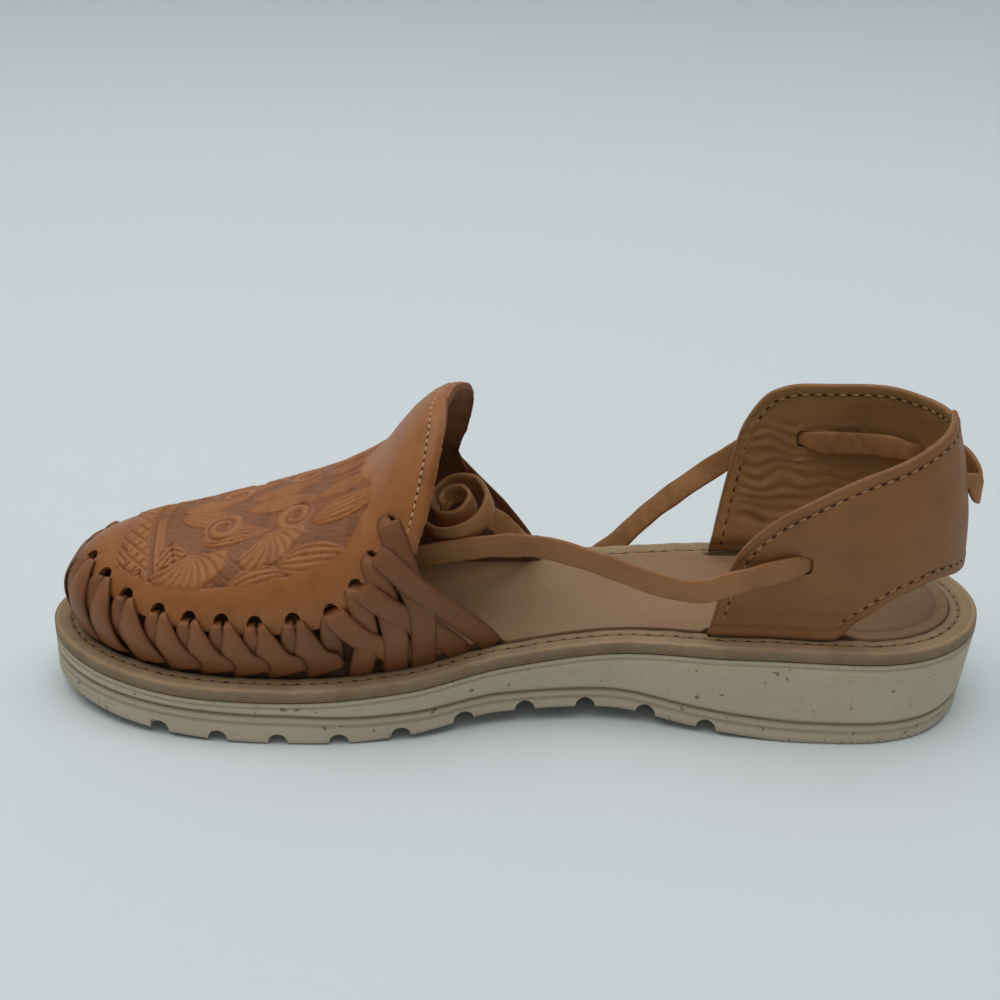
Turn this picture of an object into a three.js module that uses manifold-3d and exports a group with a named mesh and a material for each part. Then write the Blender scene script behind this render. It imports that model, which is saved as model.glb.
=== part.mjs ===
// Huarache sandal for the right foot: tooled vamp with woven sides, heel strap, flat lace, welted moulded sole.
// Millimetres. +X points to the toe, +Y to the inner side, +Z up, and the sole stands on z = 0.
import * as THREE from 'three';
import { mergeVertices } from 'three/addons/utils/BufferGeometryUtils.js';
import Module from 'manifold-3d';

const wasm = await Module();
wasm.setup();

// Last and sole
const SOLE_LENGTH = 255;
const BALL_WIDTH = 88;
const WAIST_WIDTH = 59;
const HEEL_WIDTH = 63;
const TOE_SWING = 4.5;
const HEEL_TOP = 27;
const BALL_TOP = 15.5;
const TOE_SPRING = 8;
const ARCH_RISE = 4;
const HEEL_TAPER = 3.5;
const CLEARANCE = 0.4;
const HEEL_SQUARENESS = 2.2;
const TOE_SQUARENESS = 2.25;

// Side of the sole
const LINE_HEIGHT = 6;
const LINE_WIDTH = 1.2;
const LINE_DEPTH = 0.9;
const SECOND_LINE_DROP = 2.4;
const SECOND_LINE_DEPTH = 0.45;
const LIP_HEIGHT = 1.4;
const LIP_DEPTH = 0.6;
const EDGE_CHAMFER = 0.7;
const NOTCH_FIRST = 0.288;
const NOTCH_PITCH = 16.2;
const NOTCH_COUNT = 10;
const NOTCH_WIDTH = 5.4;
const NOTCH_HEIGHT = 3.2;
const NOTCH_DEPTH = 9;
const RIB_PITCH = 5.4;
const RIB_WIDTH = 2.2;
const RIB_DEPTH = 0.9;
const RIB_HEIGHT = 3.4;
const HEEL_RIBS_TO = 0.19;
const TOE_RIBS_FROM = 0.93;

// Welt and insole
const WELT_THICKNESS = 3.2;
const WELT_LEDGE = 7.5;
const WELT_BEVEL = 0.4;
const INSOLE_RISE = 0.6;
const INSOLE_STEP_LEAD = 0.012;
const INSOLE_STEP_RUN = 0.038;

// Vamp with its woven sides
const UPPER_WALL = 1.8;
const INSTEP_HEIGHT = 67.5;
const INSTEP_RIDGE = 3;
const VAMP_BULGE = 4.5;
const VAMP_REAR = 0.47;
const SPINE_REAR = 9.2;
const SPINE_FRONT = 92;
const VAMP_FULLNESS = 2.5;
const OUTER_LAG = 0.03;
const STRIP_THICKNESS = 1.1;
const STRIP_WIDTH = 6.8;
const LEAF_WIDTH = 8.6;
const SLOT_LENGTH = 4.6;
const SLOT_WIDTH = 2.6;
const LEAF_TURN_IN = 0.01;

// Heel strap
const STRAP_WALL = 1.9;
const STRAP_HEIGHT = 57;
const STRAP_FRONT = 0.294;
const STRAP_FRONT_OUTER = 0.281;
const STRAP_SLOT_LENGTH = 9;
const STRAP_SLOT_WIDTH = 3.4;

// Lace
const LACE_WIDTH = 6.5;
const LACE_THICKNESS = 2;
const LACE_SIDES = 8;

// Plan of the sole at shares of its length from the heel: half widths as shares of the size that the row names
const PLAN = [
  { at: 0.00, size: HEEL_WIDTH, inner: 0.476, outer: 0.508, swing: 0.00 },
  { at: 0.14, size: HEEL_WIDTH, inner: 0.479, outer: 0.517, swing: 0.00 },
  { at: 0.26, size: HEEL_WIDTH, inner: 0.454, outer: 0.556, swing: 0.00 },
  { at: 0.39, size: WAIST_WIDTH, inner: 0.400, outer: 0.590, swing: 0.00 },
  { at: 0.50, size: WAIST_WIDTH, inner: 0.461, outer: 0.641, swing: 0.04 },
  { at: 0.60, size: BALL_WIDTH, inner: 0.414, outer: 0.493, swing: 0.11 },
  { at: 0.70, size: BALL_WIDTH, inner: 0.450, outer: 0.536, swing: 0.22 },
  { at: 0.82, size: BALL_WIDTH, inner: 0.450, outer: 0.551, swing: 0.44 },
  { at: 1.00, size: BALL_WIDTH, inner: 0.432, outer: 0.534, swing: 1.00 },
];
const HEEL_ROUND = 0.135;
const TOE_ROUND = { inner: 0.27, outer: 0.36 };

// Side view: stack is the way from the ball's to the heel's height, lift and spring are shares of the toe spring
const PROFILE = [
  { at: 0.00, stack: 1.000, lift: 0.00, arch: 0.38, spring: 0.00, line: 1.00, taper: 1.00 },
  { at: 0.07, stack: 1.000, lift: 0.00, arch: 0.00, spring: 0.00, line: 1.00, taper: 0.10 },
  { at: 0.19, stack: 1.000, lift: 0.00, arch: 0.00, spring: 0.00, line: 1.00, taper: -0.50 },
  { at: 0.30, stack: 0.913, lift: 0.00, arch: 0.38, spring: 0.00, line: 1.00, taper: -0.20 },
  { at: 0.40, stack: 0.739, lift: 0.00, arch: 1.00, spring: 0.00, line: 0.98, taper: 0.10 },
  { at: 0.50, stack: 0.478, lift: 0.00, arch: 0.88, spring: 0.00, line: 1.00, taper: 0.20 },
  { at: 0.60, stack: 0.217, lift: 0.00, arch: 0.25, spring: 0.00, line: 1.18, taper: 0.10 },
  { at: 0.66, stack: 0.100, lift: 0.00, arch: 0.00, spring: 0.00, line: 1.30, taper: 0.00 },
  { at: 0.74, stack: 0.020, lift: 0.00, arch: 0.00, spring: 0.00, line: 1.40, taper: -0.10 },
  { at: 0.82, stack: 0.000, lift: 0.04, arch: 0.00, spring: 0.08, line: 1.35, taper: -0.10 },
  { at: 0.91, stack: 0.000, lift: 0.20, arch: 0.00, spring: 0.28, line: 1.25, taper: -0.10 },
  { at: 1.00, stack: 0.000, lift: 0.56, arch: 0.00, spring: 0.66, line: 1.15, taper: 0.00 },
];

// Top line of the vamp: height over the welt as a share of the instep, and bulge past the foot line
const CREST = [
  { at: 0.52, height: 1.020 },
  { at: 0.563, height: 1.000 },
  { at: 0.577, height: 0.985 },
  { at: 0.597, height: 0.930 },
  { at: 0.618, height: 0.845 },
  { at: 0.642, height: 0.738 },
  { at: 0.685, height: 0.655 },
  { at: 0.73, height: 0.594 },
  { at: 0.77, height: 0.548 },
  { at: 0.84, height: 0.488 },
  { at: 0.92, height: 0.440 },
  { at: 1.00, height: 0.375 },
];
const BULGE = [
  { at: 0.48, inner: 0.55, outer: 0.45 },
  { at: 0.58, inner: 1.30, outer: 0.80 },
  { at: 0.70, inner: 0.80, outer: 0.60 },
  { at: 0.85, inner: 0.75, outer: 0.70 },
  { at: 1.00, inner: 1.00, outer: 1.00 },
];

// Rear edge of the vamp on the inner side, from the strip's tip at the sole to the peak of the throat
const THROAT = [
  { at: 0.00, share: 0.501 },
  { at: 0.05, share: 0.519 },
  { at: 0.11, share: 0.540 },
  { at: 0.18, share: 0.562 },
  { at: 0.235, share: 0.581 },
  { at: 0.29, share: 0.584 },
  { at: 0.41, share: 0.570 },
  { at: 0.55, share: 0.556 },
  { at: 0.77, share: 0.538 },
  { at: 0.925, share: 0.528 },
  { at: 1.00, share: 0.515 },
];

// Weave: a strip leaves each slot of the vamp and leans to the heel; the wall between them stands for the tongues
const SLOTS = [
  { share: 0.987, rise: 0.495, foot: 0.925 },
  { share: 0.954, rise: 0.440, foot: 0.893 },
  { share: 0.915, rise: 0.355, foot: 0.862 },
  { share: 0.871, rise: 0.300, foot: 0.826 },
  { share: 0.833, rise: 0.270, foot: 0.785 },
  { share: 0.795, rise: 0.255, foot: 0.742 },
  { share: 0.757, rise: 0.235, foot: 0.702 },
  { share: 0.716, rise: 0.230, foot: 0.655 },
  { share: 0.674, rise: 0.240, foot: 0.610 },
  { share: 0.648, rise: 0.315, foot: 0.539 },
  { share: 0.631, rise: 0.400, foot: 0.507 },
  { share: 0.613, rise: 0.490, foot: 0.574 },
];
const SHINGLES = 9;

// Longer strips of the rear weave: share, rise and layer along each, where layer 1 lies on the wall
const CROSSINGS = [
  { width: 1.00, way: [[0.630, 0.370, 0.7], [0.615, 0.190, 0.7], [0.607, 0.080, 1.5], [0.607, 0.002, 1.5]] },
  { width: 0.95, way: [[0.648, 0.285, 0.7], [0.638, 0.150, 0.7], [0.638, 0.080, 1.3], [0.643, 0.002, 1.3]] },
  { width: 1.05, way: [[0.613, 0.470, 0.7], [0.594, 0.250, 0.7], [0.580, 0.140, 1.7], [0.574, 0.002, 1.7]] },
  { width: 1.00, way: [[0.671, 0.230, 1.3], [0.645, 0.130, 1.7], [0.619, 0.060, 1.0], [0.606, 0.030, 0.7]] },
  { width: 1.00, way: [[0.645, 0.300, 1.3], [0.615, 0.190, 1.7], [0.588, 0.110, 1.0], [0.540, 0.004, 0.7]] },
  { width: 0.95, way: [[0.627, 0.385, 1.3], [0.587, 0.215, 1.9], [0.545, 0.095, 1.5], [0.509, 0.006, 1.0]] },
];

// See-through gaps between the strips: corners as share and rise
const GAPS = [
  [[0.609, 0.225], [0.598, 0.182], [0.597, 0.214]],
  [[0.6285, 0.200], [0.6225, 0.125], [0.621, 0.180]],
  [[0.5935, 0.085], [0.5975, 0.015], [0.588, 0.015]],
  [[0.6300, 0.050], [0.6250, 0.008], [0.617, 0.030]],
  [[0.6610, 0.140], [0.6620, 0.050], [0.652, 0.070]],
  [[0.5640, 0.030], [0.5640, 0.004], [0.556, 0.006]],
];

// Heel strap by the way from the back centre to its front corners: edges over the welt as shares of its height
const STRAP = [
  { at: 0.000, low: 0.245, inner: 1.000, outer: 0.965 },
  { at: 0.200, low: 0.270, inner: 0.985, outer: 0.955 },
  { at: 0.387, low: 0.295, inner: 0.955, outer: 0.950 },
  { at: 0.532, low: 0.245, inner: 0.905, outer: 0.955 },
  { at: 0.654, low: 0.110, inner: 0.845, outer: 0.948 },
  { at: 0.727, low: 0.000, inner: 0.785, outer: 0.940 },
  { at: 0.800, low: 0.000, inner: 0.705, outer: 0.930 },
  { at: 0.869, low: 0.000, inner: 0.615, outer: 0.885 },
  { at: 0.936, low: 0.000, inner: 0.468, outer: 0.700 },
  { at: 0.967, low: 0.000, inner: 0.320, outer: 0.430 },
  { at: 1.000, low: 0.000, inner: 0.020, outer: 0.040 },
];
// Flare of the strap past the foot line, at shares of its height
const FLARE = [
  { at: -0.1, back: 0.0, side: 0.0 },
  { at: 0.00, back: 0.0, side: 0.0 },
  { at: 0.25, back: 3.0, side: 2.2 },
  { at: 0.55, back: 2.2, side: 3.2 },
  { at: 1.05, back: -3.8, side: 2.0 },
];

// Slots of the strap for the lace: way from the back centre, minus on the outer side, and share of the height
const STRAP_SLOTS = [
  { way: 0.80, share: 0.395 },
  { way: -0.79, share: 0.640 },
  { way: 0.05, share: 0.660 },
  { way: -0.36, share: 0.650 },
];

// Monotone cubic through one column of a table
function curve(rows, column) {
  const x = rows.map((row) => row.at);
  const y = rows.map((row) => (typeof column === 'function' ? column(row) : row[column]));
  const slope = x.slice(1).map((v, i) => (y[i + 1] - y[i]) / (v - x[i]));
  const tangent = y.map((v, i) => {
    if (i === 0) return slope[0];
    if (i === y.length - 1) return slope[i - 1];
    if (slope[i - 1] * slope[i] <= 0) return 0;
    return 2 / (1 / slope[i - 1] + 1 / slope[i]);
  });
  return (at) => {
    const a = Math.min(Math.max(at, x[0]), x[x.length - 1]);
    let i = 0;
    while (i < x.length - 2 && a > x[i + 1]) i += 1;
    const h = x[i + 1] - x[i];
    const t = (a - x[i]) / h;
    const rise = (2 * t ** 3 - 3 * t ** 2 + 1) * y[i] + (3 * t ** 2 - 2 * t ** 3) * y[i + 1];
    return rise + h * ((t ** 3 - 2 * t ** 2 + t) * tangent[i] + (t ** 3 - t ** 2) * tangent[i + 1]);
  };
}

const innerHalf = curve(PLAN, (row) => row.size * row.inner);
const outerHalf = curve(PLAN, (row) => row.size * row.outer);
const axisY = curve(PLAN, (row) => TOE_SWING * row.swing);
const weltTop = curve(PROFILE, (row) => BALL_TOP + (HEEL_TOP - BALL_TOP) * row.stack + TOE_SPRING * row.lift);
const ground = curve(PROFILE, (row) => ARCH_RISE * row.arch + TOE_SPRING * row.spring);
const lineRise = curve(PROFILE, (row) => LINE_HEIGHT * row.line);
const crestRise = curve(CREST, (row) => INSTEP_HEIGHT * row.height);
const innerBulge = curve(BULGE, (row) => VAMP_BULGE * row.inner);
const outerBulge = curve(BULGE, (row) => VAMP_BULGE * row.outer);
const strapLow = curve(STRAP, 'low');
const strapInner = curve(STRAP, 'inner');
const strapOuter = curve(STRAP, 'outer');
const flareBack = curve(FLARE, 'back');
const flareSide = curve(FLARE, 'side');

const shareAt = (x) => x / SOLE_LENGTH + 0.5;
const xAt = (share) => (share - 0.5) * SOLE_LENGTH;
const clamp = (value) => Math.min(Math.max(value, 0), 1);

// Turns run round the sole from 0 at the heel along the inner side to PI at the toe, and back along the outer side
const shareOfTurn = (turn) => (1 - Math.cos(turn)) / 2;
const turnOfShare = (share) => Math.acos(1 - 2 * share);
const isInner = (turn) => Math.sin(turn) >= 0;

function outlinePoint(turn) {
  const share = shareOfTurn(turn);
  const toe = isInner(turn) ? TOE_ROUND.inner : TOE_ROUND.outer;
  const heelEnd = Math.sqrt(Math.max(0, 1 - clamp((HEEL_ROUND - share) / HEEL_ROUND) ** HEEL_SQUARENESS));
  const toeEnd = Math.sqrt(Math.max(0, 1 - clamp((share - 1 + toe) / toe) ** TOE_SQUARENESS));
  const half = isInner(turn) ? innerHalf(share) : -outerHalf(share);
  return new THREE.Vector2(xAt(share), axisY(share) + half * heelEnd * toeEnd);
}

function outlineNormal(turn) {
  const step = 0.02;
  const along = outlinePoint(turn + step).sub(outlinePoint(turn - step)).normalize();
  return new THREE.Vector2(-along.y, along.x);
}

function edgePoint(turn, inset) {
  return outlinePoint(turn).addScaledVector(outlineNormal(turn), -inset);
}

const LOOP_POINTS = 72;

function soleLoop(insetAt, heightAt) {
  const loop = [];
  for (let i = 0; i < LOOP_POINTS; i += 1) {
    const turn = (2 * Math.PI * i) / LOOP_POINTS;
    const share = shareOfTurn(turn);
    const p = edgePoint(turn, insetAt(share, turn));
    loop.push(new THREE.Vector3(p.x, p.y, heightAt(shareAt(p.x))));
  }
  return loop;
}

// Closed mesh through loops of equal count; loops that do not close on the first are capped across their pairs
function loft(loops, closed = false) {
  const count = loops[0].length;
  const positions = loops.flat().flatMap((p) => [p.x, p.y, p.z]);
  const faces = [];
  const quad = (a, b, c, d) => faces.push(a, b, c, a, c, d);
  const last = closed ? loops.length : loops.length - 1;
  for (let k = 0; k < last; k += 1) {
    const here = k * count;
    const next = ((k + 1) % loops.length) * count;
    for (let i = 0; i < count; i += 1) {
      const j = (i + 1) % count;
      quad(here + i, here + j, next + j, next + i);
    }
  }
  if (!closed) {
    const top = (loops.length - 1) * count;
    for (let i = 0; i < count / 2; i += 1) {
      const a = i;
      const b = i + 1;
      const c = count - i - 1;
      const d = (count - i) % count;
      quad(a, d, c, b);
      quad(top + a, top + b, top + c, top + d);
    }
  }
  return tidyMesh(positions, faces);
}

// Merges shared vertices, drops faces that have collapsed and turns the faces outwards
function tidyMesh(positions, faces) {
  let geometry = new THREE.BufferGeometry();
  geometry.setAttribute('position', new THREE.Float32BufferAttribute(positions, 3));
  geometry.setIndex(faces);
  geometry = mergeVertices(geometry, 1e-3);
  const index = geometry.index.array;
  const kept = [];
  for (let i = 0; i < index.length; i += 3) {
    const [a, b, c] = [index[i], index[i + 1], index[i + 2]];
    if (a !== b && b !== c && c !== a) kept.push(a, b, c);
  }
  const at = (i) => new THREE.Vector3().fromBufferAttribute(geometry.attributes.position, i);
  let volume = 0;
  for (let i = 0; i < kept.length; i += 3) {
    volume += at(kept[i]).dot(at(kept[i + 1]).cross(at(kept[i + 2])));
  }
  geometry.setIndex(volume < 0 ? kept.reverse() : kept);
  return geometry;
}

function solidOf(geometry) {
  const bare = geometry.clone();
  bare.deleteAttribute('normal');
  bare.deleteAttribute('uv');
  const merged = mergeVertices(bare, 1e-4);
  const mesh = new wasm.Mesh({
    numProp: 3,
    vertProperties: merged.attributes.position.array,
    triVerts: new Uint32Array(merged.index.array),
  });
  return new wasm.Manifold(mesh);
}

function geometryOf(solid) {
  const mesh = solid.getMesh();
  const geometry = new THREE.BufferGeometry();
  geometry.setAttribute('position', new THREE.BufferAttribute(new Float32Array(mesh.vertProperties), 3));
  geometry.setIndex(new THREE.BufferAttribute(new Uint32Array(mesh.triVerts), 1));
  geometry.computeVertexNormals();
  return geometry;
}

const sandal = new THREE.Group();

function addPart(name, geometry, colour, roughness) {
  const material = new THREE.MeshStandardMaterial({ color: colour, roughness, metalness: 0 });
  const mesh = new THREE.Mesh(geometry, material);
  mesh.name = name;
  sandal.add(mesh);
}

// Sole: one moulding with two lines round its side, a lip under the welt, side notches and ribbed ends
const soleTop = (share) => weltTop(share) - WELT_THICKNESS - CLEARANCE;
const taperAt = curve(PROFILE, (row) => HEEL_TAPER * row.taper);

const SIDE_STEPS = [
  { from: 'ground', rise: 0, inset: EDGE_CHAMFER },
  { from: 'ground', rise: EDGE_CHAMFER, inset: 0 },
  { from: 'line', rise: -SECOND_LINE_DROP - LINE_WIDTH / 2, inset: 0 },
  { from: 'line', rise: -SECOND_LINE_DROP, inset: SECOND_LINE_DEPTH },
  { from: 'line', rise: -SECOND_LINE_DROP + LINE_WIDTH / 2, inset: 0 },
  { from: 'line', rise: -LINE_WIDTH / 2, inset: 0 },
  { from: 'line', rise: 0, inset: LINE_DEPTH },
  { from: 'line', rise: LINE_WIDTH / 2, inset: 0 },
  { from: 'top', rise: -LIP_HEIGHT, inset: LIP_DEPTH },
  { from: 'top', rise: -LIP_HEIGHT / 2, inset: 0 },
  { from: 'top', rise: 0, inset: 0 },
];

function stepHeight(step, share) {
  if (step.from === 'ground') return ground(share) + step.rise;
  if (step.from === 'line') return ground(share) + lineRise(share) + step.rise;
  return soleTop(share) + step.rise;
}

function notchCutter(share, inner) {
  const shape = new THREE.Shape();
  const half = NOTCH_WIDTH / 2;
  shape.moveTo(-half, -NOTCH_HEIGHT);
  shape.lineTo(half, -NOTCH_HEIGHT);
  shape.lineTo(half, NOTCH_HEIGHT - half);
  shape.absarc(0, NOTCH_HEIGHT - half, half, 0, Math.PI, false);
  const reach = 3 * NOTCH_DEPTH;
  const cutter = new THREE.ExtrudeGeometry(shape, { depth: reach, bevelEnabled: false, curveSegments: 2 });
  const edge = outlinePoint(inner ? turnOfShare(share) : -turnOfShare(share));
  cutter.rotateX(Math.PI / 2);
  const start = inner ? edge.y - NOTCH_DEPTH + reach : edge.y + NOTCH_DEPTH;
  cutter.translate(edge.x, start, ground(share));
  return solidOf(cutter);
}

function ribCutter(turn) {
  const edge = edgePoint(turn, 0);
  const out = outlineNormal(turn);
  const along = new THREE.Vector2(-out.y, out.x);
  const share = shareAt(edge.x);
  const foot = edgePoint(turn, taperAt(share) + RIB_DEPTH);
  const low = ground(share) - RIB_HEIGHT;
  const high = ground(share) + RIB_HEIGHT;
  const wide = foot.clone().addScaledVector(out, 3 * RIB_DEPTH);
  const left = wide.clone().addScaledVector(along, 1.5 * RIB_WIDTH);
  const right = wide.clone().addScaledVector(along, -1.5 * RIB_WIDTH);
  const loops = [low, high].map((z) => [foot, left, wide, right].map((p) => new THREE.Vector3(p.x, p.y, z)));
  return solidOf(loft(loops));
}

// Turns spaced by a pitch along the edge, between two shares of the length on both sides
function ribTurns(fromShare, toShare) {
  const turns = [];
  for (const side of [1, -1]) {
    let walked = RIB_PITCH / 2;
    const steps = 400;
    const start = turnOfShare(fromShare);
    const end = turnOfShare(toShare);
    for (let i = 1; i <= steps; i += 1) {
      const a = side * (start + ((end - start) * (i - 1)) / steps);
      const b = side * (start + ((end - start) * i) / steps);
      walked += outlinePoint(a).distanceTo(outlinePoint(b));
      if (walked >= RIB_PITCH) {
        turns.push(b);
        walked -= RIB_PITCH;
      }
    }
  }
  return turns;
}

function buildSole() {
  const loops = SIDE_STEPS.map((step) => soleLoop((share) => {
    const low = ground(share);
    const high = soleTop(share);
    return step.inset + taperAt(share) * clamp((high - stepHeight(step, share)) / (high - low));
  }, (share) => stepHeight(step, share)));
  let body = solidOf(loft(loops));
  const cutters = [];
  for (let i = 0; i < NOTCH_COUNT; i += 1) {
    const share = NOTCH_FIRST + (i * NOTCH_PITCH) / SOLE_LENGTH;
    cutters.push(notchCutter(share, true), notchCutter(share, false));
  }
  ribTurns(0, HEEL_RIBS_TO).forEach((turn) => cutters.push(ribCutter(turn)));
  ribTurns(TOE_RIBS_FROM, 1).forEach((turn) => cutters.push(ribCutter(turn)));
  cutters.forEach((cutter) => {
    body = body.subtract(cutter);
  });
  return geometryOf(body);
}

// Welt: a flat ring on the sole that leaves the foot line open
function buildWelt() {
  const top = weltTop;
  const bottom = (share) => weltTop(share) - WELT_THICKNESS;
  const ring = (inset, height) => soleLoop(() => inset, height);
  return loft([
    ring(0, bottom),
    ring(0, (share) => top(share) - WELT_BEVEL),
    ring(WELT_BEVEL, top),
    ring(WELT_LEDGE, top),
    ring(WELT_LEDGE, bottom),
  ], true);
}

// Share of the length at which the strap's front corner stands on either side
const strapFront = (turn) => (isInner(turn) ? STRAP_FRONT : STRAP_FRONT_OUTER);

// Insole: fills the welt, and steps in by the wall where the vamp and the strap pass down beside it
const FOOT_INSET = WELT_LEDGE + CLEARANCE;

function insoleInset(share, turn) {
  const ease = (gap) => 1 - clamp((gap - INSOLE_STEP_LEAD) / INSOLE_STEP_RUN);
  const rear = isInner(turn) ? THROAT[0].share : outerShare(THROAT[0].share, 0);
  const vamp = ease(rear - share);
  const strap = ease(share - strapFront(turn));
  const wall = Math.max(vamp * UPPER_WALL, strap * STRAP_WALL);
  return FOOT_INSET + (wall > 0 ? wall + CLEARANCE * clamp(wall) : 0);
}

function buildInsole() {
  const bottom = (share) => weltTop(share) - WELT_THICKNESS;
  const top = (share) => weltTop(share) + INSOLE_RISE;
  return loft([soleLoop(insoleInset, bottom), soleLoop(insoleInset, top)]);
}

// Vamp surface: meridians rise from the foot line at a turn (rise 0) to the spine over the instep (rise 1)
function spinePoint(share) {
  const way = (share - VAMP_REAR) / (1 - VAMP_REAR);
  return new THREE.Vector2(SPINE_REAR + (SPINE_FRONT - SPINE_REAR) * way, INSTEP_RIDGE);
}

// Height of rise * (1 - rise)^2 at its peak, inverted, so that the bulge table gives the peak itself
const BULGE_PEAK = 27 / 4;

function vampPoint(turn, rise) {
  const share = shareOfTurn(turn);
  const foot = edgePoint(turn, FOOT_INSET);
  const spine = spinePoint(share);
  const angle = (rise * Math.PI) / 2;
  const inward = 1 - Math.cos(angle) ** (2 / VAMP_FULLNESS);
  const upward = Math.sin(angle) ** (2 / VAMP_FULLNESS);
  const bulge = (isInner(turn) ? innerBulge : outerBulge)(share) * BULGE_PEAK * rise * (1 - rise) ** 2;
  const p = foot.clone().lerp(spine, inward).addScaledVector(outlineNormal(turn), bulge);
  const base = weltTop(shareAt(foot.x));
  const crest = weltTop(shareAt(p.x)) + crestRise(shareAt(p.x));
  return new THREE.Vector3(p.x, p.y, base + (crest - base) * upward);
}

function vampNormal(turn, rise) {
  const step = 0.01;
  if (rise > 1 - step / 2) {
    const a = vampPoint(turn, 1);
    const slope = (crestRise(shareAt(a.x + 1)) + weltTop(shareAt(a.x + 1)))
      - (crestRise(shareAt(a.x - 1)) + weltTop(shareAt(a.x - 1)));
    return new THREE.Vector3(-slope / 2, 0, 1).normalize();
  }
  const low = Math.max(rise - step, 0);
  const along = vampPoint(turn + step, rise).sub(vampPoint(turn - step, rise));
  const up = vampPoint(turn, Math.min(rise + step, 1)).sub(vampPoint(turn, low));
  return along.cross(up).normalize().negate();
}

// The outer side of the vamp lies further back than the inner one, fading out to the toe and to the crest
function outerShare(share, rise) {
  return share - OUTER_LAG * clamp((0.75 - share) / 0.2) * (1 - rise ** 3);
}

function vampTurn(side, share, rise) {
  return side > 0 ? turnOfShare(share) : 2 * Math.PI - turnOfShare(outerShare(share, rise));
}

const throatShare = curve(THROAT, 'share');
const VAMP_STATIONS = 17;
const VAMP_RISES = [0, 0.08, 0.18, 0.28, 0.40, 0.54, 0.70, 0.85, 1];

// Hollow wall: arches of points from the inner to the outer foot line, each led by its foot in the welt
function vampShell() {
  const top = VAMP_RISES.length - 1;
  const columns = 2 * top + 3;
  const positions = [];
  const faces = [];
  for (const depth of [0, UPPER_WALL]) {
    for (let i = 0; i <= VAMP_STATIONS; i += 1) {
      for (let j = 0; j < columns; j += 1) {
        const side = j <= top + 1 ? 1 : -1;
        const row = side > 0 ? j - 1 : columns - 2 - j;
        const rise = VAMP_RISES[Math.max(row, 0)];
        const rear = vampTurn(side, throatShare(rise), rise);
        const turn = rear + ((Math.PI - rear) * i) / VAMP_STATIONS;
        const p = vampPoint(turn, rise);
        const flat = outlineNormal(turn);
        const normal = row > 0 ? vampNormal(turn, rise) : new THREE.Vector3(flat.x, flat.y, 0);
        p.addScaledVector(normal, -depth);
        if (row < 0) p.z -= WELT_THICKNESS - CLEARANCE;
        positions.push(p.x, p.y, p.z);
      }
    }
  }
  const layer = (VAMP_STATIONS + 1) * columns;
  const quad = (a, b, c, d) => faces.push(a, b, c, a, c, d);
  for (let i = 0; i < VAMP_STATIONS; i += 1) {
    const row = i * columns;
    for (let j = 0; j < columns - 1; j += 1) {
      const a = row + j;
      const b = a + columns;
      quad(a, b, b + 1, a + 1);
      quad(layer + a, layer + a + 1, layer + b + 1, layer + b);
    }
    const end = row + columns - 1;
    quad(row, layer + row, layer + row + columns, row + columns);
    quad(end, end + columns, layer + end + columns, layer + end);
  }
  for (let j = 0; j < columns - 1; j += 1) quad(j, j + 1, layer + j + 1, layer + j);
  return solidOf(tidyMesh(positions, faces));
}

// Frame on the vamp: point, outward normal, direction to the toe and direction up the wall
function vampFrame(side, share, rise) {
  const turn = vampTurn(side, share, rise);
  const point = vampPoint(turn, rise);
  const normal = vampNormal(turn, rise);
  const ahead = vampPoint(turn + side * 0.01, rise).sub(point).normalize();
  const up = new THREE.Vector3().crossVectors(normal, ahead).multiplyScalar(side).normalize();
  return { point, normal, ahead, up };
}

const CUT_REACH = 4;

// Prism through the wall over corners on the vamp
function gapCutter(side, corners) {
  const frames = corners.map(([share, rise]) => vampFrame(side, share, rise));
  const loops = [-CUT_REACH, CUT_REACH].map((reach) => frames.map(
    (frame) => frame.point.clone().addScaledVector(frame.normal, reach),
  ));
  return solidOf(loft(loops));
}

// Slot with a round top and a straight foot, from which a strip leaves
function slotCutter(side, slot) {
  const { point, normal, ahead, up } = vampFrame(side, slot.share, slot.rise);
  const half = SLOT_LENGTH / 2;
  const corners = [[-half, -SLOT_WIDTH / 2], [half, -SLOT_WIDTH / 2]];
  for (const angle of [40, 90, 140]) {
    const turn = THREE.MathUtils.degToRad(angle);
    corners.push([half * Math.cos(turn), SLOT_WIDTH * (Math.sin(turn) - 0.5)]);
  }
  const loops = [-CUT_REACH, CUT_REACH].map((reach) => corners.map(([along, rise]) => point.clone()
    .addScaledVector(ahead, along).addScaledVector(up, rise).addScaledVector(normal, reach)));
  return solidOf(loft(loops));
}

const STRIP_ROOT = 0.8;
const STRIP_STEPS = 2;

// Strip along a way of share, rise and layer, with a rounded back; spread gives its width along the way
function strip(side, way, width, spread, steps = STRIP_STEPS) {
  const path = new THREE.CatmullRomCurve3(way.map(([share, rise, layer]) => new THREE.Vector3(share, rise, layer)));
  const spreadAt = curve(spread.map((share, i) => ({ at: i / (spread.length - 1), share })), 'share');
  const loops = [];
  for (let i = 0; i <= steps; i += 1) {
    const t = i / steps;
    const here = path.getPoint(t);
    const frame = vampFrame(side, here.x, here.y);
    const before = path.getPoint(Math.max(t - 0.02, 0));
    const after = path.getPoint(Math.min(t + 0.02, 1));
    const along = vampFrame(side, after.x, after.y).point.sub(vampFrame(side, before.x, before.y).point);
    const across = new THREE.Vector3().crossVectors(frame.normal, along).normalize();
    const half = (width * spreadAt(t)) / 2;
    const lift = STRIP_THICKNESS * here.z;
    const corner = (share, height) => frame.point.clone()
      .addScaledVector(across, share * half).addScaledVector(frame.normal, height);
    loops.push([corner(1, -STRIP_ROOT), corner(0.8, lift), corner(-0.8, lift), corner(-1, -STRIP_ROOT)]);
  }
  return solidOf(loft(loops));
}

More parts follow.
